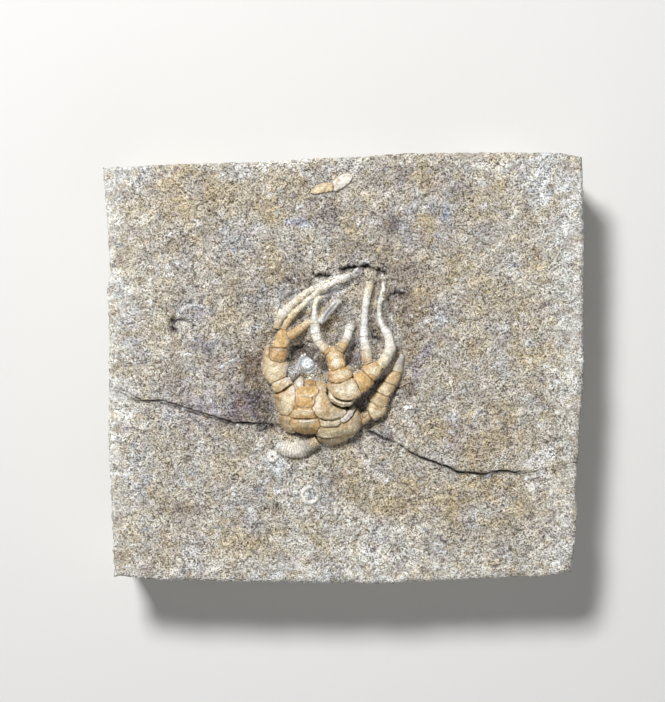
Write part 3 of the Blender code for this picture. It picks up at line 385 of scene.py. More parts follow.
stains = [  # shade, x, y, reach in x, reach in y, strength
    ("frost", -45, 37, 6, 5, 0.9), ("pale", -47, 20, 3.5, 20, 0.55), ("pale", -46.5, -6, 4.5, 14, 0.8),
    ("ochre", -31, 35, 8, 5, 0.75), ("ochre", -22, 33, 5, 5, 0.5), ("pale", -15, 41, 14, 2, 0.5),
    ("cool", -20, 28, 6, 6, 0.45), ("azure", -9, 29.3, 2.6, 0.7, 1.1),
    ("frost", -7.3, 28.5, 1.2, 0.5, 0.8), ("ochre", -12, 38, 5, 2.5, 0.4),
    ("plum", -4, 32, 4, 2.5, 0.35), ("navy", 0.5, 28, 3, 3, 0.3), ("white", 6.3, 29.5, 1.2, 0.6, 0.8),
    ("azure", 16.6, 32.2, 2.6, 1.0, 1.3), ("azure", 19.9, 31.0, 1.1, 1.4, 1.0),
    ("blue", 10, 31.5, 1, 2, 0.4), ("plum", 11, 29, 4, 2.5, 0.45), ("umber", 16.5, 27, 4, 3, 0.45),
    ("plum", 23, 36, 5, 4, 0.3), ("plum", 12, 37.5, 9, 3, 0.25), ("umber", 27.5, 28, 2.5, 1.5, 0.45),
    ("ochre", 27, 34, 2.5, 5, 0.35), ("pale", 34, 40, 9, 3, 0.55), ("frost", 43, 38, 5.5, 8, 0.9),
    ("frost", 46, 22, 3.5, 16, 0.8), ("pale", 46.5, 3, 3.5, 18, 0.8), ("ochre", 38, 21, 2.5, 1.6, 0.75),
    ("ochre", 27, 12, 2, 1.6, 0.5), ("ochre", 33, 9, 6, 8, 0.3), ("frost", 24.3, 19.4, 1.3, 2.4, 0.65),
    ("white", 35.2, 19.8, 0.8, 1.3, 0.5), ("frost", 37.2, 5, 1.3, 0.9, 0.7),
    ("umber", 12, 19.6, 4, 1.8, 0.55), ("umber", 17.3, 18, 1.6, 0.8, 0.6),
    ("umber", 10.6, 15.2, 2.6, 1.5, 0.5), ("plum", 13, 11, 2, 3, 0.35),
    ("umber", 17, 10.1, 2.6, 0.6, 0.5), ("violet", 17, 13, 3, 3, 0.4), ("violet", 16.2, 4, 2, 3, 0.5),
    ("umber", 13.6, 4, 1, 3, 0.6), ("umber", 12.6, -3.6, 1.8, 2.6, 0.8),
    ("violet", 14.5, -0.5, 1.5, 2.5, 0.4), ("frost", 24.6, -1, 2, 2.2, 0.6),
    ("cool", 20, 10.5, 3, 1.4, 0.4), ("ochre", 38, -4.5, 2, 2, 0.5), ("ochre", 28.5, -12, 7, 4, 0.6),
    ("tan", 29, -16.5, 5, 2.5, 0.6), ("ochre", 33, -23, 6, 2, 0.45),
    ("violet", 21.7, -13, 1.6, 3.6, 0.75), ("frost", 21.7, -9.7, 1, 1, 0.5),
    ("white", 40.3, -20.4, 3, 1.9, 0.85), ("white", 38.2, -23.8, 1.8, 1.4, 0.6),
    ("white", 41, -17.2, 1.5, 1.3, 0.6), ("umber", 26.5, -21.8, 3.6, 0.6, 0.5),
    ("ochre", 26, -28, 11, 4.5, 0.55), ("ochre", 12, -23.5, 8, 2, 0.4), ("ochre", 8, -27, 5, 2.5, 0.4),
    ("pale", 8, -32, 7, 2.6, 0.55), ("pale", 6, -37.5, 9, 2.6, 0.6), ("frost", -7, -26, 4, 3.5, 0.5),
    ("frost", -5.5, -32.5, 4, 4, 0.5), ("cool", -23, -26, 5, 3, 0.4),
    ("frost", -14.3, -18, 3, 2.4, 0.7), ("frost", -13.6, -23, 0.9, 2.6, 0.5),
    ("umber", -32, -28, 3, 1.6, 0.4), ("rose", -42, -39, 5, 3, 0.6), ("ochre", -36, -38, 3, 1.6, 0.4),
    ("umber", -14, -28.4, 1.3, 1.3, 0.35), ("rose", -4, -38.5, 4, 2, 0.4),
    ("cool", -40, -22, 5, 7, 0.4), ("frost", -34.5, -9.3, 1.8, 0.9, 0.75),
    ("umber", -19.5, 15.7, 3, 1.3, 0.55), ("umber", -34, 25, 3, 0.9, 0.4),
    ("umber", -28, 27, 1.5, 1.3, 0.3), ("violet", -29.6, 11.8, 3, 1.3, 0.9),
    # the black around the pit at the left is painted shade under its broken edges
    ("blackShadeAndStain", -33.7, 8.2, 1.1, 0.9, 1.0), ("cool", -31, 9.4, 3.2, 3.0, 0.5),
    ("blackShadeAndStain", -34.1, 10, 0.5, 0.8, 0.9), ("blue", -27.2, 5, 2.2, 1.8, 0.6),
    ("white", -31.4, 8, 1.6, 1.3, 0.4), ("blackShadeAndStain", -29.55, 5.9, 0.3, 0.3, 1.0),
    ("plum", -30.2, 4.1, 1.2, 1.2, 0.4), ("frost", -17.6, 7.4, 1.2, 0.9, 0.8),
    ("tan", -42, 8.4, 2.6, 2.6, 0.6), ("tan", -41.5, 0.8, 3, 2, 0.5),
    ("white", -42.8, 9.6, 0.6, 0.5, 0.7), ("white", -39.4, 3.2, 0.8, 0.5, 0.7),
    ("frost", -44.2, 15.6, 1.6, 2.2, 0.6), ("white", -34.6, 18.7, 1.2, 0.5, 0.6),
    ("white", -25.5, 17.4, 0.6, 0.5, 0.6), ("plum", -33, -3, 3, 2.6, 0.3),
    ("rose", -24, 0.4, 5, 2.6, 0.5), ("plum", -20, -6.5, 3.2, 2.6, 1.1),
    # the black left of the cup is dark stain with painted shade
    ("plum", -21.5, -9.8, 2.4, 1.6, 0.9), ("blackShadeAndStain", -16.4, -6.3, 2.2, 4.4, 0.7),
    ("blackShadeAndStain", -15.2, -11, 2.6, 1.8, 0.6), ("umber", -18, 0.5, 2.8, 3.8, 0.9),
    ("rust", -20.8, -6.8, 1.2, 1.0, 0.3), ("umber", 12.5, 13, 4.5, 5.5, 0.45),
    ("umber", 4, 23.5, 8, 2.5, 0.35), ("umber", -12, 19, 5, 2.5, 0.35),
    ("violet", -28, -8, 8, 4.5, 0.45), ("plum", 9.2, -13.6, 1.8, 1.2, 0.6),
    ("frost", 12.6, -9.2, 2, 1, 0.4), ("plum", -1, -22.3, 2.6, 1.6, 0.4), ("pale", 44, -35, 3, 6, 0.6),
    ("rose", 38, -32.4, 2, 1, 0.4), ("umber", -3, 9.4, 1.8, 2.6, 0.35),
    # the black band at -8.6, 4.8 is painted shadow under the left arm
    ("blackShadeAndStain", -8.6, 4.8, 2.4, 0.6, 0.2), ("umber", -3.9, 0.6, 0.8, 2.4, 0.7),
    ("umber", 6.7, 6.4, 1.4, 1.6, 0.5), ("violet", 1.9, 2.8, 1.2, 2.4, 0.5),
    ("white", -0.5, 17.2, 3.2, 1.7, 0.8), ("pale", 8, -41.5, 30, 2, 0.6),
    ("frost", -3.5, 14, 3, 2.2, 0.35), ("violet", 4.9, -6.5, 1.2, 1.4, 0.9),
    ("blue", 6.4, -4.2, 1, 1.4, 0.6), ("navy", 8.3, -1.6, 0.9, 1.3, 0.6),
    ("violet", 9.9, 1.2, 0.8, 1.6, 0.6), ("ash", -7.2, 1.1, 3, 2.8, 0.5),
    ("umber", -7.2, 1.6, 4, 3.4, 0.38), ("white", -10.4, -1.0, 1.4, 1.9, 2.0),
    ("white", -28.9, 29, 0.8, 0.4, 0.5), ("olive", 10.6, 8.5, 0.8, 3.2, 0.4),
    ("umber", -22.5, 1.2, 1.6, 0.5, 0.6), ("umber", -12, 17.6, 3.4, 0.8, 0.4),
]

veins = [  # shade, then x, y, rise, half width: pale threads that stand up, dark scratches that sink
    ("pale", [(8.2, 13.8, 0, 0.4), (8.9, 11.4, 0.3, 0.45), (10.2, 8.9, 0.4, 0.5),
              (10.9, 6.8, 0.35, 0.5), (11.0, 4.8, 0, 0.4)]),
    ("pale", [(30.2, -19.6, 0.1, 0.25), (31.4, -17.9, 0.2, 0.25), (32.6, -16.6, 0.2, 0.25),
              (34.4, -15.5, 0, 0.25)]),
    ("umber", [(25.0, -16.1, -0.1, 0.2), (26.6, -17.0, -0.15, 0.2), (28.0, -18.8, -0.1, 0.2)]),
    ("white", [(-33.4, 9.0, 0.3, 0.3), (-33.1, 10.5, 0.4, 0.3), (-32.2, 11.8, 0.4, 0.3),
               (-30.6, 12.6, 0.35, 0.3), (-28.6, 12.5, 0.3, 0.28), (-27.2, 11.3, 0.2, 0.25),
               (-26.8, 9.6, 0, 0.2)]),
    # black along this sunk scratch in the pit: painted shade
    ("blackShadeAndStain", [(-33.4, 9.9, -0.3, 0.2), (-31.9, 9.6, -0.4, 0.2), (-30.9, 9.3, -0.4, 0.2),
              (-30.0, 8.8, -0.2, 0.2)]),
    ("white", [(-9.6, 31.9, 0.1, 0.22), (-8.9, 32.4, 0.12, 0.22), (-8.2, 32.4, 0.1, 0.22)]),
    ("white", [(25.4, -28.5, 0.1, 0.25), (26.5, -29.8, 0.1, 0.2)]),
    ("white", [(45.2, -7.8, 0.1, 0.25), (46.2, -9.3, 0.1, 0.2)]),
    ("white", [(-32.6, 2.6, 0.1, 0.2), (-31.4, 2.9, 0.12, 0.2), (-30.1, 2.8, 0.1, 0.2)]),
    ("frost", [(-24.9, 0.1, 0.1, 0.35), (-23.4, 1.0, 0.15, 0.35), (-21.8, 2.0, 0.1, 0.3)]),
    ("navy", [(-28.2, 3.2, -0.1, 0.2), (-27.2, 3.6, -0.2, 0.22), (-26.0, 3.5, -0.1, 0.2)]),
    ("umber", [(-39.2, 16.0, -0.1, 0.2), (-37.9, 15.8, -0.12, 0.2), (-35.2, 15.3, -0.1, 0.2)]),
    ("white", [(36.6, -18.9, 0.05, 0.3), (39.0, -17.6, 0.1, 0.3), (41.9, -15.8, 0.05, 0.3)]),
    ("umber", [(-15.9, 7.0, -0.1, 0.2), (-15.2, 5.6, -0.2, 0.2), (-15.6, 4.9, -0.1, 0.2)]),
    ("blue", [(-8.2, 12.0, 0.2, 0.25), (-7.0, 13.1, 0.4, 0.3), (-6.0, 14.1, 0.3, 0.25)]),
    ("blue", [(-3.1, 15.6, 0.2, 0.3), (-2.0, 15.8, 0.3, 0.35), (-0.8, 16.0, 0.2, 0.3)]),
    # black under the swelling of the left arm's middle branch: painted shadow
    ("blackShadeAndStain", [(-5.0, 14.7, -0.1, 0.15), (-4.2, 14.9, -0.2, 0.2), (-3.4, 15.1, -0.1, 0.15)]),
]


# cloudy patches of the matrix: shade, strength, contrast, size, seed, share left bare
broadBlotches = [("ochre", 0.75, 1.4, 7.5, 73, 0), ("cool", 0.6, -1.4, 6.2, 74, 0)]
smallBlotches = [("rose", 0.5, 1.4, 2.6, 77, 0), ("ochre", 0.5, 1.4, 2.1, 78, 0)]


def mixInto(colour, shade, amount):
    return colour + (np.array(shade) - colour) * amount[..., None]


def stainedBy(colour, x, y, spots, patchy, most):     # oval stains, each with its own shade and place
    for name, spotX, spotY, reachX, reachY, strength in spots:
        amount = strength * moundAt(x, y, spotX, spotY, reachX, reachY)
        colour = mixInto(colour, shades[name], np.clip(amount * patchy, 0, most))
    return colour


def blotched(colour, x, y, blotches):
    for name, strength, contrast, size, seed, bare in blotches:
        amount = strength * easeIn(contrast * lumps(x, y, size, seed) - bare)
        colour = mixInto(colour, shades[name], amount)
    return colour


def slanted(points, drop):              # down the sides, the patterns of the upper face run on aslant
    return points[:, 0] + 0.9 * drop, points[:, 1] - 0.7 * drop


def matrixColour(points, drop):
    x, y = slanted(points, drop)
    colour = np.tile(shades["matrix"], (len(x), 1))
    colour = mixInto(colour, shades["umber"], 0.35 * smoothGround(x, y)[1])
    patchy = 1.6 + 0.9 * lumps(x, y, 4.2, 71) + 0.7 * lumps(x, y, 1.6, 72)
    colour = blotched(stainedBy(colour, x, y, stains, patchy, 0.9), x, y, broadBlotches)
    margin = np.exp((abs(x) - 47.5) / 4) + 0.6 * np.exp((-42 - y) / 4)
    margin = margin * (0.75 + 0.7 * lumps(x, y, 3.2, 63))
    colour = mixInto(colour, shades["pale"], np.clip(margin, 0, 0.85))
    colour = blotched(colour, x, y, smallBlotches)
    slantX, slantY = turned(x, y, -0.3)
    streaky = 0.17 * lumps(x, y, 2.4, 75) + 0.2 * lumps(slantX / 2.4, slantY, 0.8, 76)
    streaky += 0.12 * lumps(x, y, 5.5, 79) + 0.14 * lumps(x, y, 1.1, 80)
    streaky *= 1 + 0.6 * moundAt(x, y, -1, 3, 17, 17)
    shaded = 0.2 * moundAt(x, y, -7, 2, 22, 20)
    trueX, trueY, trueZ = points.T
    bedding = 0.3 * lumps(0.1 * (trueX - trueY), trueZ, 1.3, 66) * easeIn(drop)
    colour *= np.exp(streaky - shaded + bedding)[:, None]
    # the crack is darkened with painted shade, more where it is cut deeper
    depth, half = readOff(trueX, slabForm["crack"], 2), readOff(trueX, slabForm["crack"], 3)
    line = crackLine(trueX) + 0.3 * drop + 0.4 * lumps(drop, drop, 2.0, 44)
    inCrack = np.exp(-((trueY - line) / (half + 0.08)) ** 2)
    colour = mixInto(colour, shades["blackShadeAndStain"], inCrack * np.clip(1.6 * depth, 0.2, 0.95))
    # painted shadow at the low foot of each small broken edge
    colour = mixInto(colour, shades["blackShadeAndStain"], 0.9 * easeIn(dropOffs(x, y) / 0.8))
    return np.clip(colour, 0, 1)


def gritOf(points, drop):               # how rough and speckled the grain is, from place to place
    x, y = slanted(points, drop)
    margin = easeIn((abs(x) - 41) / 4) + 0.6 * easeIn((-38 - y) / 3)
    grit = 1 + 0.25 * moundAt(x, y, -1, 3, 17, 17) - 0.4 * margin
    grit += 0.35 * lumps(x, y, 6.0, 64) + 0.3 * lumps(x, y, 2.2, 65)
    return np.clip(grit, 0.4, 1.5)


def drawVeins(points, colour):
    y = points[:, 1]
    x = points[:, 0] + 0.2 * lumps(points[:, 0], y, 0.9, 18)
    for shade, path in veins:
        spots = np.array(path)
        near = (abs(x - spots[:, 0].mean()) < 8) & (abs(y - spots[:, 1].mean()) < 8)
        away, (rise, half) = alongPath(x[near], y[near], path)
        share = np.exp(-(away / half) ** 2)
        colour[near] = mixInto(colour[near], shades[shade], 0.75 * share)
        points[near, 2] += rise * share


def flakes(points, colour):             # white shell bits and dark specks caught in the matrix
    random = np.random.RandomState(8)
    x, y = points[:, 0], points[:, 1]
    for _ in range(matrixRelief["flakes"]):
        spotX, spotY = random.uniform(-46, 46), random.uniform(-41, 41)
        length, width = random.uniform(0.3, 1.0), random.uniform(0.18, 0.42)
        angle = random.uniform(0, pi)
        shade = random.choice(["white", "white", "chalk", "dark", "blue"])
        near = (abs(x - spotX) < 2) & (abs(y - spotY) < 2)
        if not near.any():
            continue
        u, v = turned(x[near] - spotX, y[near] - spotY, angle)
        inside = easeIn(1.6 - 1.4 * np.hypot(u / length, v / width))
        colour[near] = mixInto(colour[near], shades[shade], 0.95 * inside)
        upward = 1 if shade in ("white", "chalk") else -0.6
        points[near, 2] += matrixRelief["flakeRise"] * inside * upward


# node groups that the materials share
def newGroup(name, inputs, outputs):
    tree = bpy.data.node_groups.new(name, "ShaderNodeTree")
    for label, kind, value in inputs:
        socket = tree.interface.new_socket(label, in_out="INPUT", socket_type=kind)
        socket.default_value = value
    for label, kind in outputs:
        tree.interface.new_socket(label, in_out="OUTPUT", socket_type=kind)
    return tree, tree.nodes.new("NodeGroupInput"), tree.nodes.new("NodeGroupOutput")


def addNode(tree, kind, **settings):
    node = tree.nodes.new(kind)
    for key, value in settings.items():
        setattr(node, key, value)
    return node


def maths(tree, operation, first, second, clamp=False):
    node = addNode(tree, "ShaderNodeMath", operation=operation, use_clamp=clamp)
    for socket, value in zip(node.inputs, (first, second)):
        if isinstance(value, (int, float)):
            socket.default_value = value
        else:
            tree.links.new(value, socket)
    return node.outputs[0]


def mixColours(tree, factor, first, second, blend="MIX"):
    node = addNode(tree, "ShaderNodeMix", data_type="RGBA", blend_type=blend)
    for socket, value in zip((node.inputs[0], node.inputs[6], node.inputs[7]), (factor, first, second)):
        if isinstance(value, (int, float, tuple)):
            socket.default_value = value
        else:
            tree.links.new(value, socket)
    return node.outputs[2]


def spread(tree, value, low, high, toLow=0.0, toHigh=1.0):
    node = addNode(tree, "ShaderNodeMapRange")
    tree.links.new(value, node.inputs[0])
    for k, number in enumerate((low, high, toLow, toHigh)):
        node.inputs[k + 1].default_value = number
    return node.outputs[0]


def grainGroup():                       # crystalline grain: a tone around 1 and a height from 0 to 1
    tree, inputs, outputs = newGroup("crystalGrain", [
        ("Size mm", "NodeSocketFloat", 0.35), ("Contrast", "NodeSocketFloat", 0.4),
        ("Twist", "NodeSocketFloat", 0.0)],
        [("Tone", "NodeSocketFloat"), ("Height", "NodeSocketFloat"), ("Sparkle", "NodeSocketFloat")])
    place = addNode(tree, "ShaderNodeTexCoord").outputs["Object"]
    scale = maths(tree, "DIVIDE", 1000.0, inputs.outputs[0])
    soft = addNode(tree, "ShaderNodeTexNoise")
    soft.inputs["Detail"].default_value = 1.5
    soft.inputs["Roughness"].default_value = 0.6
    tree.links.new(inputs.outputs[2], soft.inputs["Distortion"])
    tree.links.new(place, soft.inputs["Vector"])
    tree.links.new(scale, soft.inputs["Scale"])
    cells = addNode(tree, "ShaderNodeTexVoronoi")
    tree.links.new(place, cells.inputs["Vector"])
    tree.links.new(scale, cells.inputs["Scale"])
    value = addNode(tree, "ShaderNodeSeparateColor")
    tree.links.new(cells.outputs["Color"], value.inputs[0])
    both = maths(tree, "ADD", maths(tree, "MULTIPLY", value.outputs[0], 0.3),
                 spread(tree, soft.outputs[0], 0.28, 0.72, 0.0, 0.7))
    swing = maths(tree, "SUBTRACT", both, 0.5)
    tone = maths(tree, "POWER", 2.718, maths(tree, "MULTIPLY", swing, inputs.outputs[1]))
    tree.links.new(tone, outputs.inputs[0])
    tree.links.new(both, outputs.inputs[1])
    tree.links.new(spread(tree, value.outputs[1], 0.86, 0.92), outputs.inputs[2])
    return tree


def mottleGroup():                      # broad cloudy staining: a mask from 0 to 1
    tree, inputs, outputs = newGroup("cloudyStain", [
        ("Size mm", "NodeSocketFloat", 1.5), ("Cover", "NodeSocketFloat", 0.5),
        ("Stretch", "NodeSocketFloat", 1.0)], [("Mask", "NodeSocketFloat")])
    longer = addNode(tree, "ShaderNodeCombineXYZ")
    longer.inputs[1].default_value = longer.inputs[2].default_value = 1
    tree.links.new(inputs.outputs[2], longer.inputs[0])
    slant = addNode(tree, "ShaderNodeMapping", vector_type="TEXTURE")
    slant.inputs["Rotation"].default_value = (0, 0, 0.3)
    tree.links.new(addNode(tree, "ShaderNodeTexCoord").outputs["Object"], slant.inputs["Vector"])
    tree.links.new(longer.outputs[0], slant.inputs["Scale"])
    place = slant.outputs[0]
    cloud = addNode(tree, "ShaderNodeTexNoise")
    cloud.inputs["Detail"].default_value = 4
    cloud.inputs["Distortion"].default_value = 0.4
    tree.links.new(place, cloud.inputs["Vector"])
    tree.links.new(maths(tree, "DIVIDE", 1000.0, inputs.outputs[0]), cloud.inputs["Scale"])
    start = maths(tree, "SUBTRACT", 0.75, maths(tree, "MULTIPLY", inputs.outputs[1], 0.5))
    mask = maths(tree, "MULTIPLY", maths(tree, "SUBTRACT", cloud.outputs[0], start), 6.0, clamp=True)
    tree.links.new(mask, outputs.inputs[0])
    return tree


grainTree, stainTree = grainGroup(), mottleGroup()


def placeGroup(tree, group, *values):
    node = addNode(tree, "ShaderNodeGroup", node_tree=group)
    for socket, value in zip(node.inputs, values):
        socket.default_value = value
    return node


def tinted(tree, colour, mask, strength, tint, blend="MIX"):   # a tint laid over where the mask is
    return mixColours(tree, maths(tree, "MULTIPLY", mask, strength), colour, tint, blend)


def attribute(tree, name, output="Fac"):
    return addNode(tree, "ShaderNodeAttribute", attribute_name=name).outputs[output]


def newMaterial(name, roughness):
    material = bpy.data.materials.new(name)
    material.use_nodes = True
    shader = material.node_tree.nodes["Principled BSDF"]
    shader.inputs["Roughness"].default_value = roughness
    return material, material.node_tree, shader


def addBump(tree, shader, height, distance):
    bump = addNode(tree, "ShaderNodeBump")
    bump.inputs["Strength"].default_value = 1
    bump.inputs["Distance"].default_value = distance * mm
    tree.links.new(height, bump.inputs["Height"])
    tree.links.new(bump.outputs[0], shader.inputs["Normal"])


siltLook = {"roughness": 0.88, "specular": 0.2, "grainSize": 0.31, "contrast": 4.6,
            "fineSize": 0.19, "fineContrast": 4.2, "crustSize": 0.85, "crustContrast": 1.1,
            "twist": 1.2, "brightest": 1.75, "bump": 0.17,
            "cloudSize": 2.0, "cloudCover": 0.44, "cloud": 0.45, "cloudTint": (1.45, 1.48, 1.6, 1),
            "murkSize": 1.2, "murkCover": 0.44, "murk": 0.5, "murkTint": (0.23, 0.185, 0.15, 1),
            "rustSize": 0.9, "rustCover": 0.25, "rust": 0.22, "rustTint": (0.42, 0.3, 0.16, 1),
            "warm": (1.08, 1.0, 0.86, 1), "cold": (0.93, 1.0, 1.13, 1),
            "sparkle": 0.35, "sparkleTint": (0.84, 0.84, 0.83, 1)}


def siltstoneMaterial(look):
    material, tree, shader = newMaterial("grey-brown siltstone", look["roughness"])
    shader.inputs["Specular IOR Level"].default_value = look["specular"]
    crust = placeGroup(tree, grainTree, look["crustSize"], look["crustContrast"], look["twist"])
    grain = placeGroup(tree, grainTree, look["grainSize"], look["contrast"], look["twist"])
    fine = placeGroup(tree, grainTree, look["fineSize"], look["fineContrast"], 0.0)
    tone = maths(tree, "MULTIPLY", grain.outputs["Tone"], fine.outputs["Tone"])
    tone = maths(tree, "MULTIPLY", tone, crust.outputs["Tone"])
    tone = maths(tree, "POWER", tone, attribute(tree, "grit"))
    tone = maths(tree, "MINIMUM", tone, look["brightest"])
    cloud = placeGroup(tree, stainTree, look["cloudSize"], look["cloudCover"], 2.2)
    murk = placeGroup(tree, stainTree, look["murkSize"], look["murkCover"], 2.0)
    rust = placeGroup(tree, stainTree, look["rustSize"], look["rustCover"], 1.0)
    colour = attribute(tree, "stain", "Color")
    colour = tinted(tree, colour, cloud.outputs[0], look["cloud"], look["cloudTint"], "MULTIPLY")
    colour = tinted(tree, colour, murk.outputs[0], look["murk"], look["murkTint"])
    hue = mixColours(tree, spread(tree, grain.outputs["Height"], 0.2, 0.8), look["warm"], look["cold"])
    colour = mixColours(tree, 1.0, colour, hue, "MULTIPLY")
    colour = mixColours(tree, 1.0, colour, tone, "MULTIPLY")
    colour = tinted(tree, colour, rust.outputs[0], look["rust"], look["rustTint"])
    colour = tinted(tree, colour, grain.outputs["Sparkle"], look["sparkle"], look["sparkleTint"])
    tree.links.new(colour, shader.inputs["Base Color"])
    height = maths(tree, "MULTIPLY", fine.outputs["Height"], 0.4)
    height = maths(tree, "ADD", grain.outputs["Height"], height)
    height = maths(tree, "ADD", height, maths(tree, "MULTIPLY", crust.outputs["Height"], 1.5))
    addBump(tree, shader, height, look["bump"])
    return material


plateLook = {"name": "tan plate calcite", "roughness": 0.45, "coat": 0.12, "stain": (0.4, 0.23, 0.08, 1),
             "mottle": 0.36, "grain": 0.9, "bump": 0.05, "clinging": "ash"}
bleachedLook = {"name": "bleached arm calcite", "roughness": 0.55, "coat": 0.0,
                "stain": (0.42, 0.38, 0.32, 1), "mottle": 0.34, "grain": 1.1, "bump": 0.06,
                "clinging": "matrix"}
blueLook = {"name": "blue-white disc calcite", "roughness": 0.4, "coat": 0.25,
            "stain": (0.36, 0.42, 0.48, 1), "mottle": 0.45, "grain": 1.4, "bump": 0.08,
            "clinging": "matrix"}
seamShade = (0.1, 0.065, 0.035, 1)


def calciteMaterial(look):              # tinted plates, dark seams partly painted as shade, painted shade in the creases, and matrix clinging low down
    material, tree, shader = newMaterial(look["name"], look["roughness"])
    shader.inputs["Coat Weight"].default_value = look["coat"]
    shader.inputs["Coat Roughness"].default_value = 0.3
    cloud = placeGroup(tree, stainTree, 1.1, 0.5, 1.0)
    freckle = placeGroup(tree, stainTree, 0.28, 0.3, 1.0)
    crystals = placeGroup(tree, grainTree, 0.22, look["grain"], 0.6)
    silt = placeGroup(tree, grainTree, siltLook["grainSize"], siltLook["contrast"], siltLook["twist"])
    colour = attribute(tree, "plateTint", "Color")
    colour = tinted(tree, colour, cloud.outputs[0], look["mottle"], look["stain"])
    colour = tinted(tree, colour, freckle.outputs[0], 0.6 * look["mottle"], look["stain"])
    colour = mixColours(tree, 1.0, colour, crystals.outputs["Tone"], "MULTIPLY")
    matrix = mixColours(tree, 1.0, (*shades[look["clinging"]], 1), silt.outputs["Tone"], "MULTIPLY")
    bedded = attribute(tree, "bedded")
    speckled = maths(tree, "MULTIPLY", bedded, spread(tree, silt.outputs["Height"], 0.25, 0.6, 0.5, 1.6))
    colour = mixColours(tree, maths(tree, "MINIMUM", speckled, 1.0), colour, matrix)
    # seams darkened partly as their own colour and partly as painted shade, with the painted shade of the
    # creases
    colour = tinted(tree, colour, attribute(tree, "seamAndShade"), 0.85, seamShade)
    tree.links.new(colour, shader.inputs["Base Color"])
    height = maths(tree, "MULTIPLY", bedded, silt.outputs["Height"])
    height = maths(tree, "ADD", crystals.outputs["Height"], height)
    addBump(tree, shader, height, look["bump"])
    return material


siltstone = siltstoneMaterial(siltLook)
plateCalcite, bleachedCalcite = calciteMaterial(plateLook), calciteMaterial(bleachedLook)
blueCalcite = calciteMaterial(blueLook)
print("materials made")


def makePiece(name, points, faces, material, slot, node):
    mesh = bpy.data.meshes.new(name)
    mesh.from_pydata((np.asarray(points) * mm).tolist(), [], faces)
    mesh.update()
    mesh.shade_smooth()
    mesh.materials.append(material)
    piece = bpy.data.objects.new(name, mesh)
    bpy.context.scene.collection.objects.link(piece)
    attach(piece, "root")
    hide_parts(node)
    print(name, len(mesh.vertices), "points")
    return piece


def paint(piece, name, values):
    colour = np.ndim(values) == 2
    layer = piece.data.attributes.new(name, "FLOAT_COLOR" if colour else "FLOAT", "POINT")
    if colour:
        values = np.concatenate([values, np.ones((len(values), 1))], 1)
    layer.data.foreach_set("color" if colour else "value", np.ravel(values).astype(np.float32))


slabPoints, slabFaces, slabDrop = slabMesh()
slabColour = matrixColour(slabPoints, slabDrop)
flakes(slabPoints, slabColour)
drawVeins(slabPoints, slabColour)
slab = makePiece("siltstone_slab", slabPoints, slabFaces, siltstone, "siltstone", "matrix_slab")
paint(slab, "stain", slabColour)
paint(slab, "grit", gritOf(slabPoints, slabDrop))


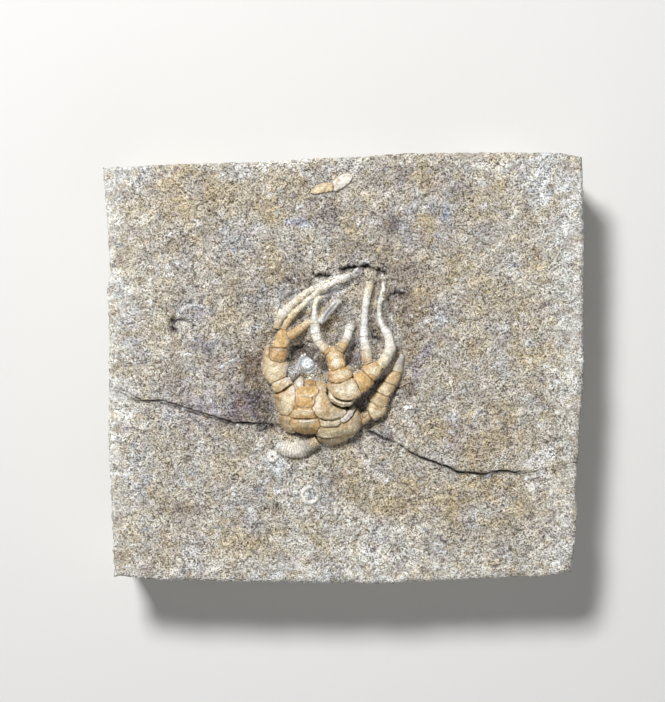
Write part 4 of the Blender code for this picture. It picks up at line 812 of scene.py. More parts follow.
# plates of the cup and of the thick arm bases: outline, shade in the middle, shade at the edge,
# lift, and slope to the right and to the top
cupPlates = [
    ([(-13.9, -5.2), (-12.9, -4.9), (-11.8, -4.3), (-10.2, -3.2), (-9.6, -4.1), (-9.55, -5.5),
      (-9.6, -7.3), (-9.9, -8.2), (-10.6, -9.0), (-11.2, -9.3), (-12.6, -9.2), (-13.3, -8.2),
      (-13.8, -6.8)], "cream", "buff", 0.0, 0.07, 0.02),
    ([(-9.2, -4.2), (-8.4, -3.9), (-7.6, -3.7), (-6.3, -3.65), (-5.6, -3.7), (-4.9, -4.2), (-5.0, -5.0),
      (-5.5, -5.5), (-5.8, -6.0), (-5.7, -6.8), (-6.0, -7.2), (-6.6, -7.5), (-7.6, -7.7), (-8.4, -7.6),
      (-9.3, -7.3), (-9.5, -6.5), (-9.5, -5.2)], "honey", "orange", 0.15, 0.0, 0.05),
    ([(-10.0, -2.9), (-9.9, -2.2), (-9.0, -1.7), (-8.2, -1.9), (-7.8, -2.6), (-7.9, -3.5), (-8.4, -3.8),
      (-9.2, -4.2), (-9.8, -3.5)], "chalk", "cream", -0.1, 0.0, 0.0),
    ([(-7.8, -2.0), (-6.9, -1.9), (-6.0, -1.8), (-5.5, -2.2), (-5.5, -3.3), (-6.2, -3.6), (-7.2, -3.6),
      (-7.9, -3.4), (-7.8, -2.5)], "orange", "brown", -0.3, 0.0, -0.1),
    ([(-5.4, -2.5), (-4.6, -2.4), (-3.8, -2.7), (-3.1, -3.3), (-3.3, -4.3), (-3.5, -5.0), (-4.9, -4.2),
      (-5.4, -3.6), (-5.5, -3.0)], "cream", "buff", -0.15, 0.0, -0.1),
    ([(-4.8, -4.4), (-3.6, -4.9), (-3.4, -5.2), (-3.2, -6.2), (-2.9, -7.0), (-2.2, -7.7), (-1.3, -8.1),
      (-0.4, -8.5), (0.4, -8.4), (0.3, -9.0), (-0.4, -9.6), (-1.0, -9.9), (-2.2, -10.2), (-3.6, -10.1),
      (-4.8, -9.7), (-5.6, -9.2), (-6.1, -8.2), (-5.8, -7.6), (-5.5, -6.5), (-5.3, -5.5)],
     "buff", "cream", 0.25, -0.03, -0.06),
    ([(-9.6, -7.5), (-8.6, -7.9), (-7.6, -8.0), (-6.5, -7.9), (-6.1, -8.3), (-5.7, -9.1), (-5.2, -9.6),
      (-6.3, -9.9), (-7.6, -10.0), (-9.0, -10.0), (-9.9, -9.8), (-10.8, -9.3), (-10.3, -8.7),
      (-9.9, -8.2)], "cream", "orange", 0.0, 0.0, 0.14),
    ([(-10.0, -10.1), (-8.8, -10.2), (-7.4, -10.2), (-6.0, -10.0), (-5.1, -9.8), (-4.7, -10.5),
      (-4.6, -11.3), (-5.1, -12.0), (-5.5, -12.8), (-6.5, -13.0), (-8.0, -12.8), (-9.4, -12.5),
      (-10.2, -11.8), (-10.6, -11.2)], "honey", "orange", 0.12, 0.0, 0.14),
    ([(-13.0, -9.0), (-12.3, -9.4), (-11.2, -9.6), (-10.5, -10.0), (-10.8, -11.0), (-10.3, -12.0),
      (-9.5, -12.7), (-10.4, -13.0), (-11.2, -12.9), (-12.2, -12.0), (-12.9, -10.8), (-13.1, -9.8)],
     "buff", "buff", -0.2, 0.0, 0.05),
    ([(-4.8, -10.1), (-3.5, -10.4), (-2.0, -10.5), (-1.2, -10.3), (-0.5, -10.2), (-1.0, -11.4),
      (-2.5, -11.6), (-4.3, -11.4), (-4.6, -11.2)], "chalk", "cream", 0.0, 0.0, 0.12),
    ([(0.3, -9.3), (1.1, -8.8), (1.9, -8.0), (2.1, -7.3), (2.2, -8.2), (1.7, -9.2), (1.2, -10.0),
      (0.5, -10.5), (-0.5, -10.5), (-0.7, -10.2), (-0.2, -9.7)], "white", "chalk", 0.2, -0.05, 0.1),
    ([(-4.6, -11.6), (-3.0, -11.8), (-1.2, -11.7), (0.0, -11.3), (1.0, -10.6), (1.6, -9.7), (2.2, -8.3),
      (2.6, -8.2), (3.5, -9.0), (3.6, -10.3), (3.5, -11.4), (2.6, -12.4), (1.5, -13.1), (0.0, -13.2),
      (-1.2, -13.5), (-2.5, -13.7), (-4.0, -13.8), (-4.8, -13.6), (-5.3, -13.0), (-5.0, -12.3)],
     "cream", "buff", 0.0, 0.0, -0.03),
    ([(-5.3, -13.5), (-4.0, -13.9), (-2.5, -13.8), (-1.0, -13.6), (0.5, -13.3), (2.0, -13.1),
      (3.0, -12.6), (1.4, -13.9), (0.0, -14.5), (-1.3, -15.1), (-2.6, -15.4), (-3.6, -15.3),
      (-4.4, -14.9), (-5.2, -14.3)], "cream", "buff", -0.15, 0.0, 0.05)]

leftBasePlates = [
    ([(-14.3, -3.1), (-13.9, -2.8), (-12.1, -1.9), (-10.9, -1.8), (-10.1, -2.9), (-11.0, -3.4),
      (-12.2, -4.2), (-12.9, -4.8), (-13.9, -4.9)], "buff", "cream", 0.0, 0.0, 0.0),
    ([(-14.9, -2.8), (-15.6, -1.8), (-16.0, -0.3), (-16.1, 1.0), (-16.0, 3.3), (-15.3, 4.6),
      (-14.9, 4.3), (-14.9, 2.3), (-14.4, 1.5), (-13.8, 1.4), (-13.2, 1.4), (-12.6, 1.1), (-11.8, 1.3),
      (-11.2, 1.2), (-11.0, 0.5), (-11.3, -0.5), (-11.5, -1.3), (-11.9, -1.9), (-13.6, -2.6),
      (-14.5, -3.0)], "cream", "buff", 0.05, 0.0, 0.0),
    ([(-14.8, 3.2), (-14.5, 4.0), (-13.8, 4.05), (-12.6, 4.0), (-11.4, 4.0), (-11.0, 3.4),
      (-11.5, 2.2), (-11.9, 1.4), (-12.6, 1.25), (-13.5, 1.4), (-14.3, 1.6), (-14.8, 2.3)],
     "honey", "brown", 0.0, 0.0, 0.0),
    ([(-14.0, 4.3), (-13.8, 5.2), (-13.3, 6.8), (-12.7, 7.6), (-12.2, 7.8), (-11.5, 7.6), (-11.2, 6.8),
      (-10.9, 6.0), (-11.0, 5.0), (-11.2, 4.1)], "honey", "orange", 0.1, 0.0, 0.0)]

middleBasePlates = [
    ([(-2.9, -3.2), (-2.4, -3.05), (-1.3, -3.2), (-0.3, -2.95), (0.7, -2.5), (1.6, -1.9), (1.9, -2.0),
      (2.4, -2.9), (2.9, -4.1), (3.3, -4.9), (3.1, -5.1), (2.3, -5.7), (1.2, -6.1), (0.0, -6.2),
      (-1.0, -5.9), (-2.0, -5.1), (-2.8, -4.2), (-3.0, -3.6)], "cream", "buff", 0.2, 0.0, -0.05),
    ([(-3.4, -4.2), (-2.8, -4.4), (-2.0, -5.4), (-1.0, -6.1), (0.0, -6.4), (1.2, -6.35), (2.4, -5.95),
      (3.1, -5.4), (1.9, -7.2), (1.2, -7.7), (-0.4, -7.8), (-1.4, -7.5), (-2.5, -7.0), (-3.1, -6.4)],
     "buff", "cream", -0.3, 0.0, 0.0)]

middleLeftPlates = [
    ([(-2.9, -0.6), (-2.0, -0.5), (-1.0, -0.2), (0.3, 0.2), (0.9, 0.5), (1.4, -0.2), (1.8, -1.0),
      (1.6, -1.7), (1.3, -1.9), (0.6, -2.35), (-0.5, -2.8), (-1.5, -2.9), (-2.4, -2.75), (-2.9, -2.2),
      (-3.0, -1.3)], "cream", "orange", 0.0, 0.0, 0.03),
    ([(-2.0, 4.4), (-2.8, 4.1), (-3.6, 2.9), (-3.3, 2.2), (-3.0, 1.2), (-2.9, 0.0), (-2.2, -0.35),
      (-1.0, 0.0), (0.2, 0.5), (0.3, 0.6), (0.2, 1.2), (0.0, 2.5), (-0.1, 2.9), (-1.4, 3.9)],
     "cream", "orange", 0.0, 0.0, 0.03)]

middleRightPlates = [
    ([(2.0, -1.2), (2.6, -0.9), (3.6, -0.4), (4.3, -1.0), (5.3, -2.0), (5.8, -2.6), (5.9, -2.9),
      (5.2, -3.7), (4.3, -4.5), (3.5, -5.0), (3.1, -4.0), (2.6, -2.9), (2.05, -2.0)],
     "honey", "orange", 0.0, 0.0, 0.0),
    ([(3.9, -0.5), (4.6, -1.2), (5.5, -2.0), (6.1, -2.4), (6.9, -1.5), (7.4, -0.8), (7.8, -0.1),
      (7.5, 0.9), (7.3, 0.9), (6.5, 1.3), (6.0, 1.5), (5.9, 1.4), (5.0, 0.9), (4.2, 0.8), (3.9, 0.3),
      (4.0, -0.2)], "cream", "orange", 0.0, 0.0, 0.0)]

rightBasePlates = [
    ([(3.75, -9.0), (4.9, -8.6), (5.0, -8.6), (5.2, -9.5), (5.6, -10.0), (5.3, -10.2), (4.2, -11.0),
      (3.75, -11.4)], "buff", "brown", 0.0, 0.0, 0.0),
    ([(5.0, -8.4), (4.9, -7.7), (5.1, -7.0), (5.4, -6.7), (6.0, -6.9), (6.5, -7.5), (7.2, -7.8),
      (8.0, -7.8), (8.6, -7.6), (8.5, -8.4), (8.1, -9.1), (7.2, -9.7), (6.3, -10.1), (5.6, -9.9),
      (5.2, -9.2)], "cream", "buff", 0.0, 0.0, 0.0),
    ([(5.2, -6.5), (5.3, -5.8), (5.9, -5.2), (6.6, -4.7), (7.4, -5.1), (8.5, -5.6), (9.0, -5.6),
      (8.95, -6.6), (8.7, -7.4), (7.9, -7.7), (7.0, -7.6), (6.4, -7.2), (5.9, -6.8)],
     "buff", "buff", 0.0, 0.0, 0.0),
    ([(6.6, -4.6), (7.0, -4.0), (7.4, -3.4), (8.0, -2.7), (10.3, -3.4), (10.15, -4.0), (9.7, -4.8),
      (9.1, -5.5), (8.6, -5.6), (7.5, -5.1)], "cream", "buff", 0.0, 0.0, 0.0),
    ([(8.1, -2.6), (8.6, -1.7), (9.4, -0.9), (10.0, -0.5), (11.4, -0.5), (11.5, -1.5), (11.2, -2.2),
      (10.8, -3.0), (10.4, -3.5)], "buff", "buff", 0.0, 0.0, 0.0)]

washes = [  # stains on the fossil: shade, x, y, reach in x, reach in y, strength
    ("orange", -13.0, -6.4, 0.9, 1.5, 0.6), ("brown", -13.4, -7.9, 0.5, 1.2, 0.4),
    ("chalk", -10.1, -4.3, 0.7, 0.9, 0.7), ("chalk", -9.8, -6.2, 0.4, 1.2, 0.6),
    ("orange", -8.6, -6.6, 1.6, 1.0, 0.6), ("honey", -7.2, -4.4, 2.0, 0.6, 0.5),
    # the black dot at -6.25, -6.0 is painted shade in a small pit of the plate
    ("cream", -7.2, -5.4, 1.8, 0.3, 0.45), ("blackShadeAndStain", -6.25, -6.0, 0.22, 0.34, 1.0),
    ("chalk", -7.9, -7.6, 0.7, 0.2, 0.5), ("ash", -5.6, -6.9, 0.4, 0.6, 0.4),
    ("honey", -6.6, -2.6, 0.9, 0.6, 0.5), ("honey", -4.3, -3.2, 0.8, 0.6, 0.5),
    ("chalk", -4.6, -4.0, 0.9, 0.4, 0.6), ("chalk", -8.9, -2.9, 0.9, 0.9, 0.6),
    ("cream", -2.7, -10.8, 1.8, 0.4, 0.6), ("chalk", 0.8, -9.2, 0.7, 0.9, 0.7),
    ("cream", -1.8, -14.0, 2.6, 0.5, 0.55), ("cream", -7.2, -11.2, 1.6, 0.5, 0.4),
    ("chalk", -5.0, -7.3, 0.5, 1.6, 0.7), ("orange", -3.9, -6.9, 0.6, 0.7, 0.7),
    ("olive", -3.0, -9.2, 1.8, 0.6, 0.8), ("rose", -1.2, -9.1, 0.9, 0.5, 0.6),
    # the thin cream band at -8.4 and chalk band at -10.4 along these plates' upper lips are their colour
    # with painted highlight
    ("cream", -7.5, -8.4, 1.8, 0.25, 0.7), ("orange", -7.5, -9.3, 2.4, 0.5, 0.65),
    ("chalk", -7.6, -10.4, 1.7, 0.28, 0.9), ("olive", -7.3, -11.5, 0.9, 0.7, 0.8),
    ("orange", -9.3, -11.2, 0.8, 1.0, 0.7), ("orange", -5.6, -11.2, 0.6, 0.6, 0.6),
    ("rust", -6.6, -12.6, 1.6, 0.4, 0.6), ("brown", -5.1, -12.8, 0.35, 0.3, 0.8),
    ("olive", -11.4, -11.2, 1.0, 1.3, 0.6), ("brown", -12.3, -9.3, 0.5, 1.0, 0.5),
    ("rose", 0.8, -9.5, 0.7, 0.4, 0.4), ("olive", -2.0, -12.5, 2.5, 0.7, 0.6),
    ("rust", -0.1, -11.2, 0.7, 0.5, 0.4), ("ash", 3.0, -10.5, 0.8, 1.5, 0.4),
    ("brown", -3.0, -15.0, 2.4, 0.35, 0.5), ("olive", -14.3, -0.3, 0.9, 0.9, 0.45),
    ("chalk", -11.5, -0.6, 0.6, 1.4, 0.8), ("chalk", -11.0, -2.5, 0.9, 0.5, 0.7),
    ("rust", -13.2, 2.7, 1.4, 1.0, 0.65), ("cream", -12.9, 3.8, 1.2, 0.15, 0.7),
    ("orange", -13.3, -3.8, 0.8, 0.5, 0.5), ("honey", -12.4, 5.6, 1.0, 1.4, 0.6),
    ("olive", -9.4, 7.3, 1.3, 0.4, 0.45), ("cream", -7.6, 9.1, 1.5, 0.7, 0.5),
    ("chalk", -1.6, 1.3, 0.45, 0.9, 0.9), ("orange", -2.7, 2.4, 0.5, 1.2, 0.7),
    ("orange", -0.4, 2.2, 0.4, 0.9, 0.7), ("honey", -1.6, 3.4, 0.8, 0.5, 0.6),
    ("olive", -1.7, 3.3, 0.7, 0.5, 0.45), ("rust", -2.4, -1.6, 0.7, 1.0, 0.7),
    ("cream", 0.2, -0.9, 0.9, 0.5, 0.7), ("orange", -1.2, -2.3, 1.6, 0.4, 0.5),
    ("brown", -2.0, -4.0, 0.8, 0.5, 0.75), ("chalk", 0.9, -3.8, 1.6, 1.2, 0.5),
    ("olive", 0.8, -2.9, 1.0, 0.25, 0.5), ("olive", 1.5, -5.6, 1.8, 0.35, 0.6),
    ("orange", 3.8, -2.0, 0.9, 0.8, 0.55), ("rust", 5.5, -2.8, 0.5, 0.7, 0.6),
    ("cream", 5.9, -0.3, 0.8, 0.6, 0.5), ("orange", 4.6, -0.2, 0.6, 0.6, 0.5),
    ("orange", 6.7, 0.7, 0.7, 0.5, 0.4), ("orange", 4.1, 2.8, 0.4, 1.3, 0.7),
    ("orange", 9.8, -2.2, 0.8, 0.9, 0.4), ("brown", 11.5, 1.3, 0.3, 0.5, 0.6),
    ("olive", 6.4, -6.4, 1.2, 0.8, 0.45), ("olive", 6.6, -8.9, 1.2, 0.7, 0.4),
    # the black at -4.3, 14.8 is painted shadow under the middle branch's swelling
    ("olive", -4.5, 15.4, 0.9, 0.6, 0.9), ("blackShadeAndStain", -4.3, 14.8, 0.8, 0.22, 0.8),
    ("blue", -2.0, 16.2, 1.2, 0.35, 0.5), ("olive", 5.2, 16.6, 0.8, 1.0, 0.35),
    ("ash", -12.3, 8.6, 1.0, 0.6, 0.4), ("brown", -0.5, -8.4, 1.0, 0.3, 0.6),
    # the black at -2.3, -7.35 is painted shade in the deep crease between the cup and the middle base
    ("blackShadeAndStain", -2.3, -7.35, 0.5, 0.35, 0.6),
]

creases = [  # x, y, depth, half width: grooves in the plates, darkened with painted shade, and ridges where the depth is below 0, lightened with painted highlight
    [(-10.3, -9.8, 0, 0.1), (-9.2, -10.0, 0.3, 0.12), (-7.2, -10.0, 0.34, 0.14), (-5.1, -9.8, 0.24, 0.1)],
    [(-9.8, -10.3, 0, 0.2), (-7.5, -10.45, -0.3, 0.26), (-5.2, -10.1, -0.1, 0.2)],
    [(-9.4, -8.1, 0, 0.2), (-7.5, -8.35, -0.2, 0.22), (-5.9, -8.6, -0.1, 0.2)],
    [(-9.1, -5.9, 0, 0.3), (-8.0, -5.3, -0.16, 0.3), (-6.4, -5.5, -0.16, 0.3), (-5.0, -4.6, 0, 0.3)],
    [(-5.9, -8.3, 0.15, 0.12), (-5.4, -9.4, 0.3, 0.16), (-3.8, -10.15, 0.4, 0.2),
     (-2.2, -10.25, 0.4, 0.2), (-0.8, -9.8, 0.25, 0.15)],
    [(-4.4, -11.75, 0.1, 0.12), (-2.9, -11.65, 0.22, 0.14), (-1.2, -11.6, 0.22, 0.14),
     (-0.5, -10.8, 0.2, 0.12), (0.6, -10.6, 0.22, 0.12), (1.6, -9.7, 0.24, 0.14), (2.3, -8.4, 0.2, 0.14)],
    [(-5.4, -13.4, 0, 0.1), (-4.4, -13.85, 0.26, 0.12), (-3.0, -13.9, 0.28, 0.12),
     (-1.6, -13.55, 0, 0.1)],
    [(-5.0, -13.25, 0, 0.2), (-3.0, -13.55, -0.18, 0.2), (-1.6, -13.2, 0, 0.2)],
    [(-10.3, -3.6, 0, 0.4), (-9.8, -4.3, -0.2, 0.35), (-9.7, -5.6, -0.2, 0.3), (-10.0, -7.3, 0, 0.3)],
    [(-3.2, -6.2, 0.5, 0.2), (-2.7, -7.0, 1.4, 0.3), (-2.2, -7.45, 1.6, 0.32), (-1.3, -7.9, 1.4, 0.28),
     (-0.3, -8.15, 1.2, 0.24), (0.4, -8.4, 0.3, 0.2)],
    [(-2.6, -4.7, 0.2, 0.12), (-2.1, -5.3, 0.5, 0.16), (-1.4, -5.95, 0.6, 0.18),
     (-0.5, -6.35, 0.6, 0.18), (0.8, -6.5, 0.5, 0.16), (2.0, -6.2, 0.2, 0.12)],
    [(-3.2, -4.9, 0, 0.2), (-2.5, -5.9, -0.25, 0.22), (-1.3, -6.75, -0.35, 0.24),
     (-0.2, -7.0, -0.35, 0.24), (1.2, -7.0, -0.25, 0.22), (2.0, -6.8, 0, 0.2)],
    [(-3.45, -3.9, 0.2, 0.1), (-3.5, -5.2, 0.4, 0.14), (-3.15, -6.2, 0.6, 0.16)],
    [(-13.5, 6.3, 0.2, 0.08), (-13.0, 7.3, 0.4, 0.1), (-12.2, 9.0, 0.4, 0.1), (-11.2, 10.4, 0.2, 0.08)],
    [(-11.4, 7.5, 0.3, 0.1), (-11.35, 6.5, 0.25, 0.1), (-10.9, 5.9, 0.15, 0.08)],
    [(-4.6, 10.1, -0.3, 0.14), (-3.9, 11.0, -0.5, 0.16), (-2.9, 12.2, -0.5, 0.16),
     (-1.7, 13.5, -0.3, 0.14)],
    [(-3.9, 9.8, 0.2, 0.12), (-3.3, 10.9, 0.4, 0.16), (-2.4, 12.0, 0.4, 0.16), (-1.4, 13.1, 0.3, 0.12)],
    [(-2.3, 11.3, -0.2, 0.1), (-1.6, 12.2, -0.4, 0.12), (-0.9, 13.1, -0.3, 0.12)],
    [(-6.35, 9.6, 0.1, 0.1), (-6.4, 11.0, 0.25, 0.12), (-6.3, 12.6, 0.25, 0.12), (-6.0, 13.6, 0.1, 0.1)],
    [(-5.6, 10.2, -0.2, 0.2), (-5.55, 11.6, -0.3, 0.22), (-5.5, 12.8, -0.3, 0.22),
     (-4.8, 14.1, -0.2, 0.2)],
    [(6.85, 9.5, -0.1, 0.12), (6.8, 11.5, -0.22, 0.13), (7.0, 13.2, -0.22, 0.13),
     (7.5, 15.4, -0.1, 0.12)],
    [(3.75, 9.6, -0.1, 0.12), (3.85, 11.5, -0.2, 0.13), (4.1, 13.6, -0.2, 0.13), (4.5, 16.2, -0.1, 0.12)],
]


def creaseCut(x, y):                    # depth cut by the grooves, with the painted shade in them and the painted highlight on the ridges
    cut, dark, ridgeHighlight = (np.zeros(np.shape(x)) for _ in range(3))
    shifted = 0.06 * lumps(x, y, 0.6, 17)
    for crease in creases:
        away, (depth, half) = alongPath(x, y, crease)
        share = np.exp(-((away + shifted) / half) ** 2)
        cut += depth * share
        dark = np.maximum(dark, share * np.clip(depth * 4.5, 0, 1))
        ridgeHighlight = np.maximum(ridgeHighlight, share * np.clip(depth * -4, 0, 1))
    return cut, dark, ridgeHighlight


# ridge lines of the bases, those of their solids: x, y, height, half width
baseRidges = {
    "left": [[(-11.4, -4.2, 20.6, 2.2), (-12.6, -3.0, 20.5, 2.5), (-13.6, -0.8, 20.4, 2.7),
              (-13.4, 2.6, 20.2, 2.3), (-12.6, 5.0, 20.0, 1.8), (-12.2, 7.8, 19.6, 1.4)]],
    "middle": [[(-0.8, -7.6, 21.6, 3.0), (-0.2, -4.8, 22.7, 3.5), (-0.6, -1.5, 22.5, 2.8)],
               [(0.3, -5.8, 22.5, 3.2), (2.4, -4.0, 22.6, 2.4), (4.0, -2.6, 22.4, 2.3)]],
    "middleLeft": [[(-0.2, -3.2, 22.6, 3.0), (-0.7, -1.2, 22.4, 2.6), (-1.5, 1.8, 21.8, 2.1),
                    (-1.8, 4.4, 21.2, 2.0)]],
    "middleRight": [[(2.4, -3.8, 22.5, 2.6), (4.0, -2.6, 22.3, 2.4), (5.8, -0.5, 21.7, 2.3),
                     (6.4, 1.4, 21.2, 2.2)]],
    "right": [[(3.0, -10.3, 19.8, 1.8), (4.6, -9.8, 19.7, 1.6), (6.4, -8.6, 19.8, 2.1),
               (7.2, -6.5, 19.6, 2.2), (8.5, -4.2, 19.3, 1.9), (9.7, -2.0, 18.9, 1.7),
               (10.9, -0.2, 18.5, 1.5)]]}

cupForm = {
    "centre": (-5.6, -8.6), "rimHeight": 17.2, "rise": 4.5, "socket": (0.3, -5.2, 3.5, 3.1),
    "socketFloor": 19.3,
    "bulges": [(-12.6, -5.2, 1.5, 0.9, 1.5), (-10.6, -3.9, 0.9, 0.8, 1.1), (-9.0, -2.8, 0.8, 0.9, 0.8),
               (-6.8, -2.6, 0.9, 0.7, 1.0), (-4.3, -3.3, 0.8, 0.7, 0.8), (-7.2, -4.7, 1.6, 0.6, 0.35),
               (-8.3, -6.5, 0.9, 0.7, 0.25), (-4.2, -8.0, 1.0, 1.5, 0.35), (-7.6, -11.2, 2.2, 1.0, 0.3),
               (-12.3, -7.2, 1.0, 1.6, 0.2), (-8.0, -8.8, 2.2, 0.5, 0.2), (0.4, -12.2, 2.4, 0.8, 0.25)],
    "outline": [(-13.9, -5.3), (-13.8, -6.8), (-13.3, -8.2), (-13.1, -9.6), (-12.7, -10.9),
                (-12.0, -12.2), (-11.3, -12.9), (-10.2, -13.1), (-8.8, -13.1), (-7.0, -13.3),
                (-5.6, -13.6), (-5.1, -14.4), (-4.2, -15.0), (-3.0, -15.4), (-1.6, -15.3),
                (0.0, -14.6), (1.6, -13.9), (3.0, -12.9), (3.6, -12.0), (3.7, -10.5), (3.7, -9.0),
                (3.2, -8.0), (2.4, -7.0), (1.4, -5.6), (-0.6, -4.4), (-2.4, -3.6), (-3.6, -2.7),
                (-4.6, -2.3), (-5.5, -2.1), (-6.9, -1.8), (-8.2, -1.8), (-9.0, -1.6), (-9.7, -2.1),
                (-9.8, -3.0), (-10.6, -3.7), (-11.8, -4.4), (-12.9, -5.0)]}
plateForm = {"step": 0.15, "voxel": 0.1, "margin": 0.1, "gap": 0.75, "skin": 0.1, "sunk": 0.8,
             "seamDepth": 0.17, "seamHalf": 0.08, "pits": 0.12,
             "cling": 0.55, "foot": 0.2}          # share of a plate's side left in matrix, and its spread


def cupReaches():                       # reach of the cup's outline for each degree of bearing
    centreX, centreY = cupForm["centre"]
    reaches = []
    for degree in range(361):
        far = np.linspace(2, 14, 600)
        x = centreX + far * cos(radians(degree))
        y = centreY + far * sin(radians(degree))
        within = insideBy(x, y, cupForm["outline"]) > 0
        reaches.append(far[within].max())
    return reaches


cupReach = cupReaches()


def cupTop(x, y):
    awayX, awayY = x - cupForm["centre"][0], y - cupForm["centre"][1]
    bearing = np.degrees(np.arctan2(awayY, awayX)) % 360
    share = np.clip(np.hypot(awayX, awayY) / np.interp(bearing, range(361), cupReach), 0, 1)
    height = cupForm["rimHeight"] + cupForm["rise"] * (1 - share ** 2.6) ** 0.6
    for spotX, spotY, reachX, reachY, rise in cupForm["bulges"]:
        height += rise * moundAt(x, y, spotX, spotY, reachX, reachY)
    centreX, centreY, reachX, reachY = cupForm["socket"]
    socket = np.hypot((x - centreX) / reachX, (y - centreY) / reachY)
    floor = cupForm["socketFloor"]
    lowered = floor + (height - floor) * easeIn((socket - 0.82) / 0.18)
    return np.where(height > floor, lowered, height)


def ridgeTop(ridges):
    def top(x, y):
        best = np.zeros(np.shape(x))
        for ridge in ridges:
            away, (height, half) = alongPath(x, y, ridge)
            across = np.clip(away / half, 0, 1)
            best = np.maximum(best, height - 0.85 * half * (1 - np.sqrt(1 - across ** 2)))
        return best - 0.25
    return top


def plateFit(x, y, plates):             # plate number, depth inside it, depth inside the next one
    fits = np.stack([insideBy(x, y, plate[0]) for plate in plates])
    order = np.sort(fits, 0)
    return fits.argmax(0), order[-1], order[-2]


def closedUp(filled, reach):            # narrow gaps and notches filled, nothing made wider
    span = range(-reach, reach + 1)
    moves = [(i, j) for i in span for j in span if i * i + j * j <= reach * reach]
    grown = np.any([np.roll(filled, move, (0, 1)) for move in moves], 0)
    return np.all([np.roll(grown, move, (0, 1)) for move in moves], 0)


def plateHull(plates, top, depth):      # stepped solid under the plates, ready to be remeshed
    allPoints = np.array([point for plate in plates for point in plate[0]])
    step = plateForm["step"]
    reach = int(plateForm["gap"] / step)
    low, high = allPoints.min(0) - (reach + 3) * step, allPoints.max(0) + (reach + 3) * step
    x, y = np.meshgrid(np.arange(low[0], high[0], step), np.arange(low[1], high[1], step))
    filled = closedUp(plateFit(x, y, plates)[1] > plateForm["margin"], reach)
    cells = filled[:-1, :-1] & filled[1:, :-1] & filled[:-1, 1:] & filled[1:, 1:]
    size = x.size
    upper = np.stack([x, y, top(x, y)], -1).reshape(-1, 3)
    lower = np.stack([x, y, np.minimum(smoothGround(x, y)[0], top(x, y)) - depth], -1).reshape(-1, 3)
    index = np.arange(size).reshape(x.shape)
    faces = []
    rows, columns = cells.shape
    for i, j in zip(*np.nonzero(cells)):
        corners = [index[i, j], index[i, j + 1], index[i + 1, j + 1], index[i + 1, j]]
        faces.append(corners)
        faces.append([corner + size for corner in reversed(corners)])
        beside = [(i - 1, j), (i, j + 1), (i + 1, j), (i, j - 1)]
        for k, (row, column) in enumerate(beside):
            if not (0 <= row < rows and 0 <= column < columns and cells[row, column]):
                first, second = corners[k], corners[(k + 1) % 4]
                faces.append([second, first, first + size, second + size])
    return np.concatenate([upper, lower]), faces


def remeshed(points, faces, smoothing):
    mesh = bpy.data.meshes.new("hull")
    mesh.from_pydata(points.tolist(), [], [[int(i) for i in face] for face in faces])
    hull = bpy.data.objects.new("hull", mesh)
    bpy.context.scene.collection.objects.link(hull)
    grid = hull.modifiers.new("grid", "REMESH")
    grid.mode, grid.voxel_size = "VOXEL", plateForm["voxel"]
    soft = hull.modifiers.new("soft", "SMOOTH")
    soft.factor, soft.iterations = 0.5, smoothing
    ready = hull.evaluated_get(bpy.context.evaluated_depsgraph_get()).to_mesh()
    count = len(ready.vertices)
    places, normals = np.zeros(count * 3), np.zeros(count * 3)
    ready.vertices.foreach_get("co", places)
    ready.vertex_normals.foreach_get("vector", normals)
    polygons = [tuple(face.vertices) for face in ready.polygons]
    bpy.data.objects.remove(hull)
    return places.reshape(-1, 3), normals.reshape(-1, 3), polygons


def plateRelief(x, y, u, v, which, apart, plates, pillow):   # how far the skin stands out over the hull
    form = plateForm
    centres = np.array([np.mean(plate[0], axis=0) for plate in plates])[which]
    lift, slopeX, slopeY = np.array([plate[3:] for plate in plates])[which].T
    relief = form["skin"] + lift + slopeX * (x - centres[:, 0]) + slopeY * (y - centres[:, 1])
    inner = np.clip(apart / (0.45 + 3 * pillow), 0, 1)
    relief += pillow * np.sqrt(1 - (1 - inner) ** 2)
    relief -= form["seamDepth"] * np.exp(-(apart / form["seamHalf"]) ** 2)
    relief += 0.09 * lumps(u, v, 1.5, 82) + 0.07 * lumps(u, v, 0.75, 83) + 0.045 * lumps(u, v, 0.36, 80)
    return relief - form["pits"] * np.maximum(0, lumps(u, v, 0.5, 84) - 0.4)


def plateTints(u, v, which, rim, plates):
    inner = np.array([shades[plate[1]] for plate in plates])[which]
    outer = np.array([shades[plate[2]] for plate in plates])[which]
    middle = easeIn(rim / 1.1 + 0.5 * lumps(u, v, 1.1, 85))
    tint = outer + (inner - outer) * middle[:, None]
    # a pale band just inside each plate's edge, partly wear and partly painted highlight
    wornAndHighlit = np.exp(-((rim - 0.26) / 0.12) ** 2) * easeIn(0.5 + lumps(u, v, 1.2, 79))
    return mixInto(tint, shades["cream"], 0.5 * wornAndHighlit)


def weatheredAndHighlit(x, y, tint, ridgeHighlight, rusting):   # stains by place, then blotches of rust, lime and grey, then painted highlight on the ridges
    patchy = 1 + 0.5 * lumps(x, y, 0.8, 71) + 0.3 * lumps(x, y, 0.35, 72)
    tint = stainedBy(tint, x, y, washes, patchy, 1)
    blotches = [("rust", 0.35 * rusting, 1.3, 1.6, 73, 0.1), ("cream", 0.45, 1.4, 1.3, 74, 0.2),
                ("olive", 0.35 * rusting, 1.3, 1.0, 77, 0.2), ("ash", 0.3, 1.3, 0.6, 75, 0.35)]
    tint = mixInto(blotched(tint, x, y, blotches), shades["chalk"], 0.7 * ridgeHighlight)
    tint = tint * (1 + 0.2 * lumps(x, y, 0.42, 76) + 0.18 * lumps(x, y, 0.9, 78))[:, None]
    return np.clip(tint, 0, 1)


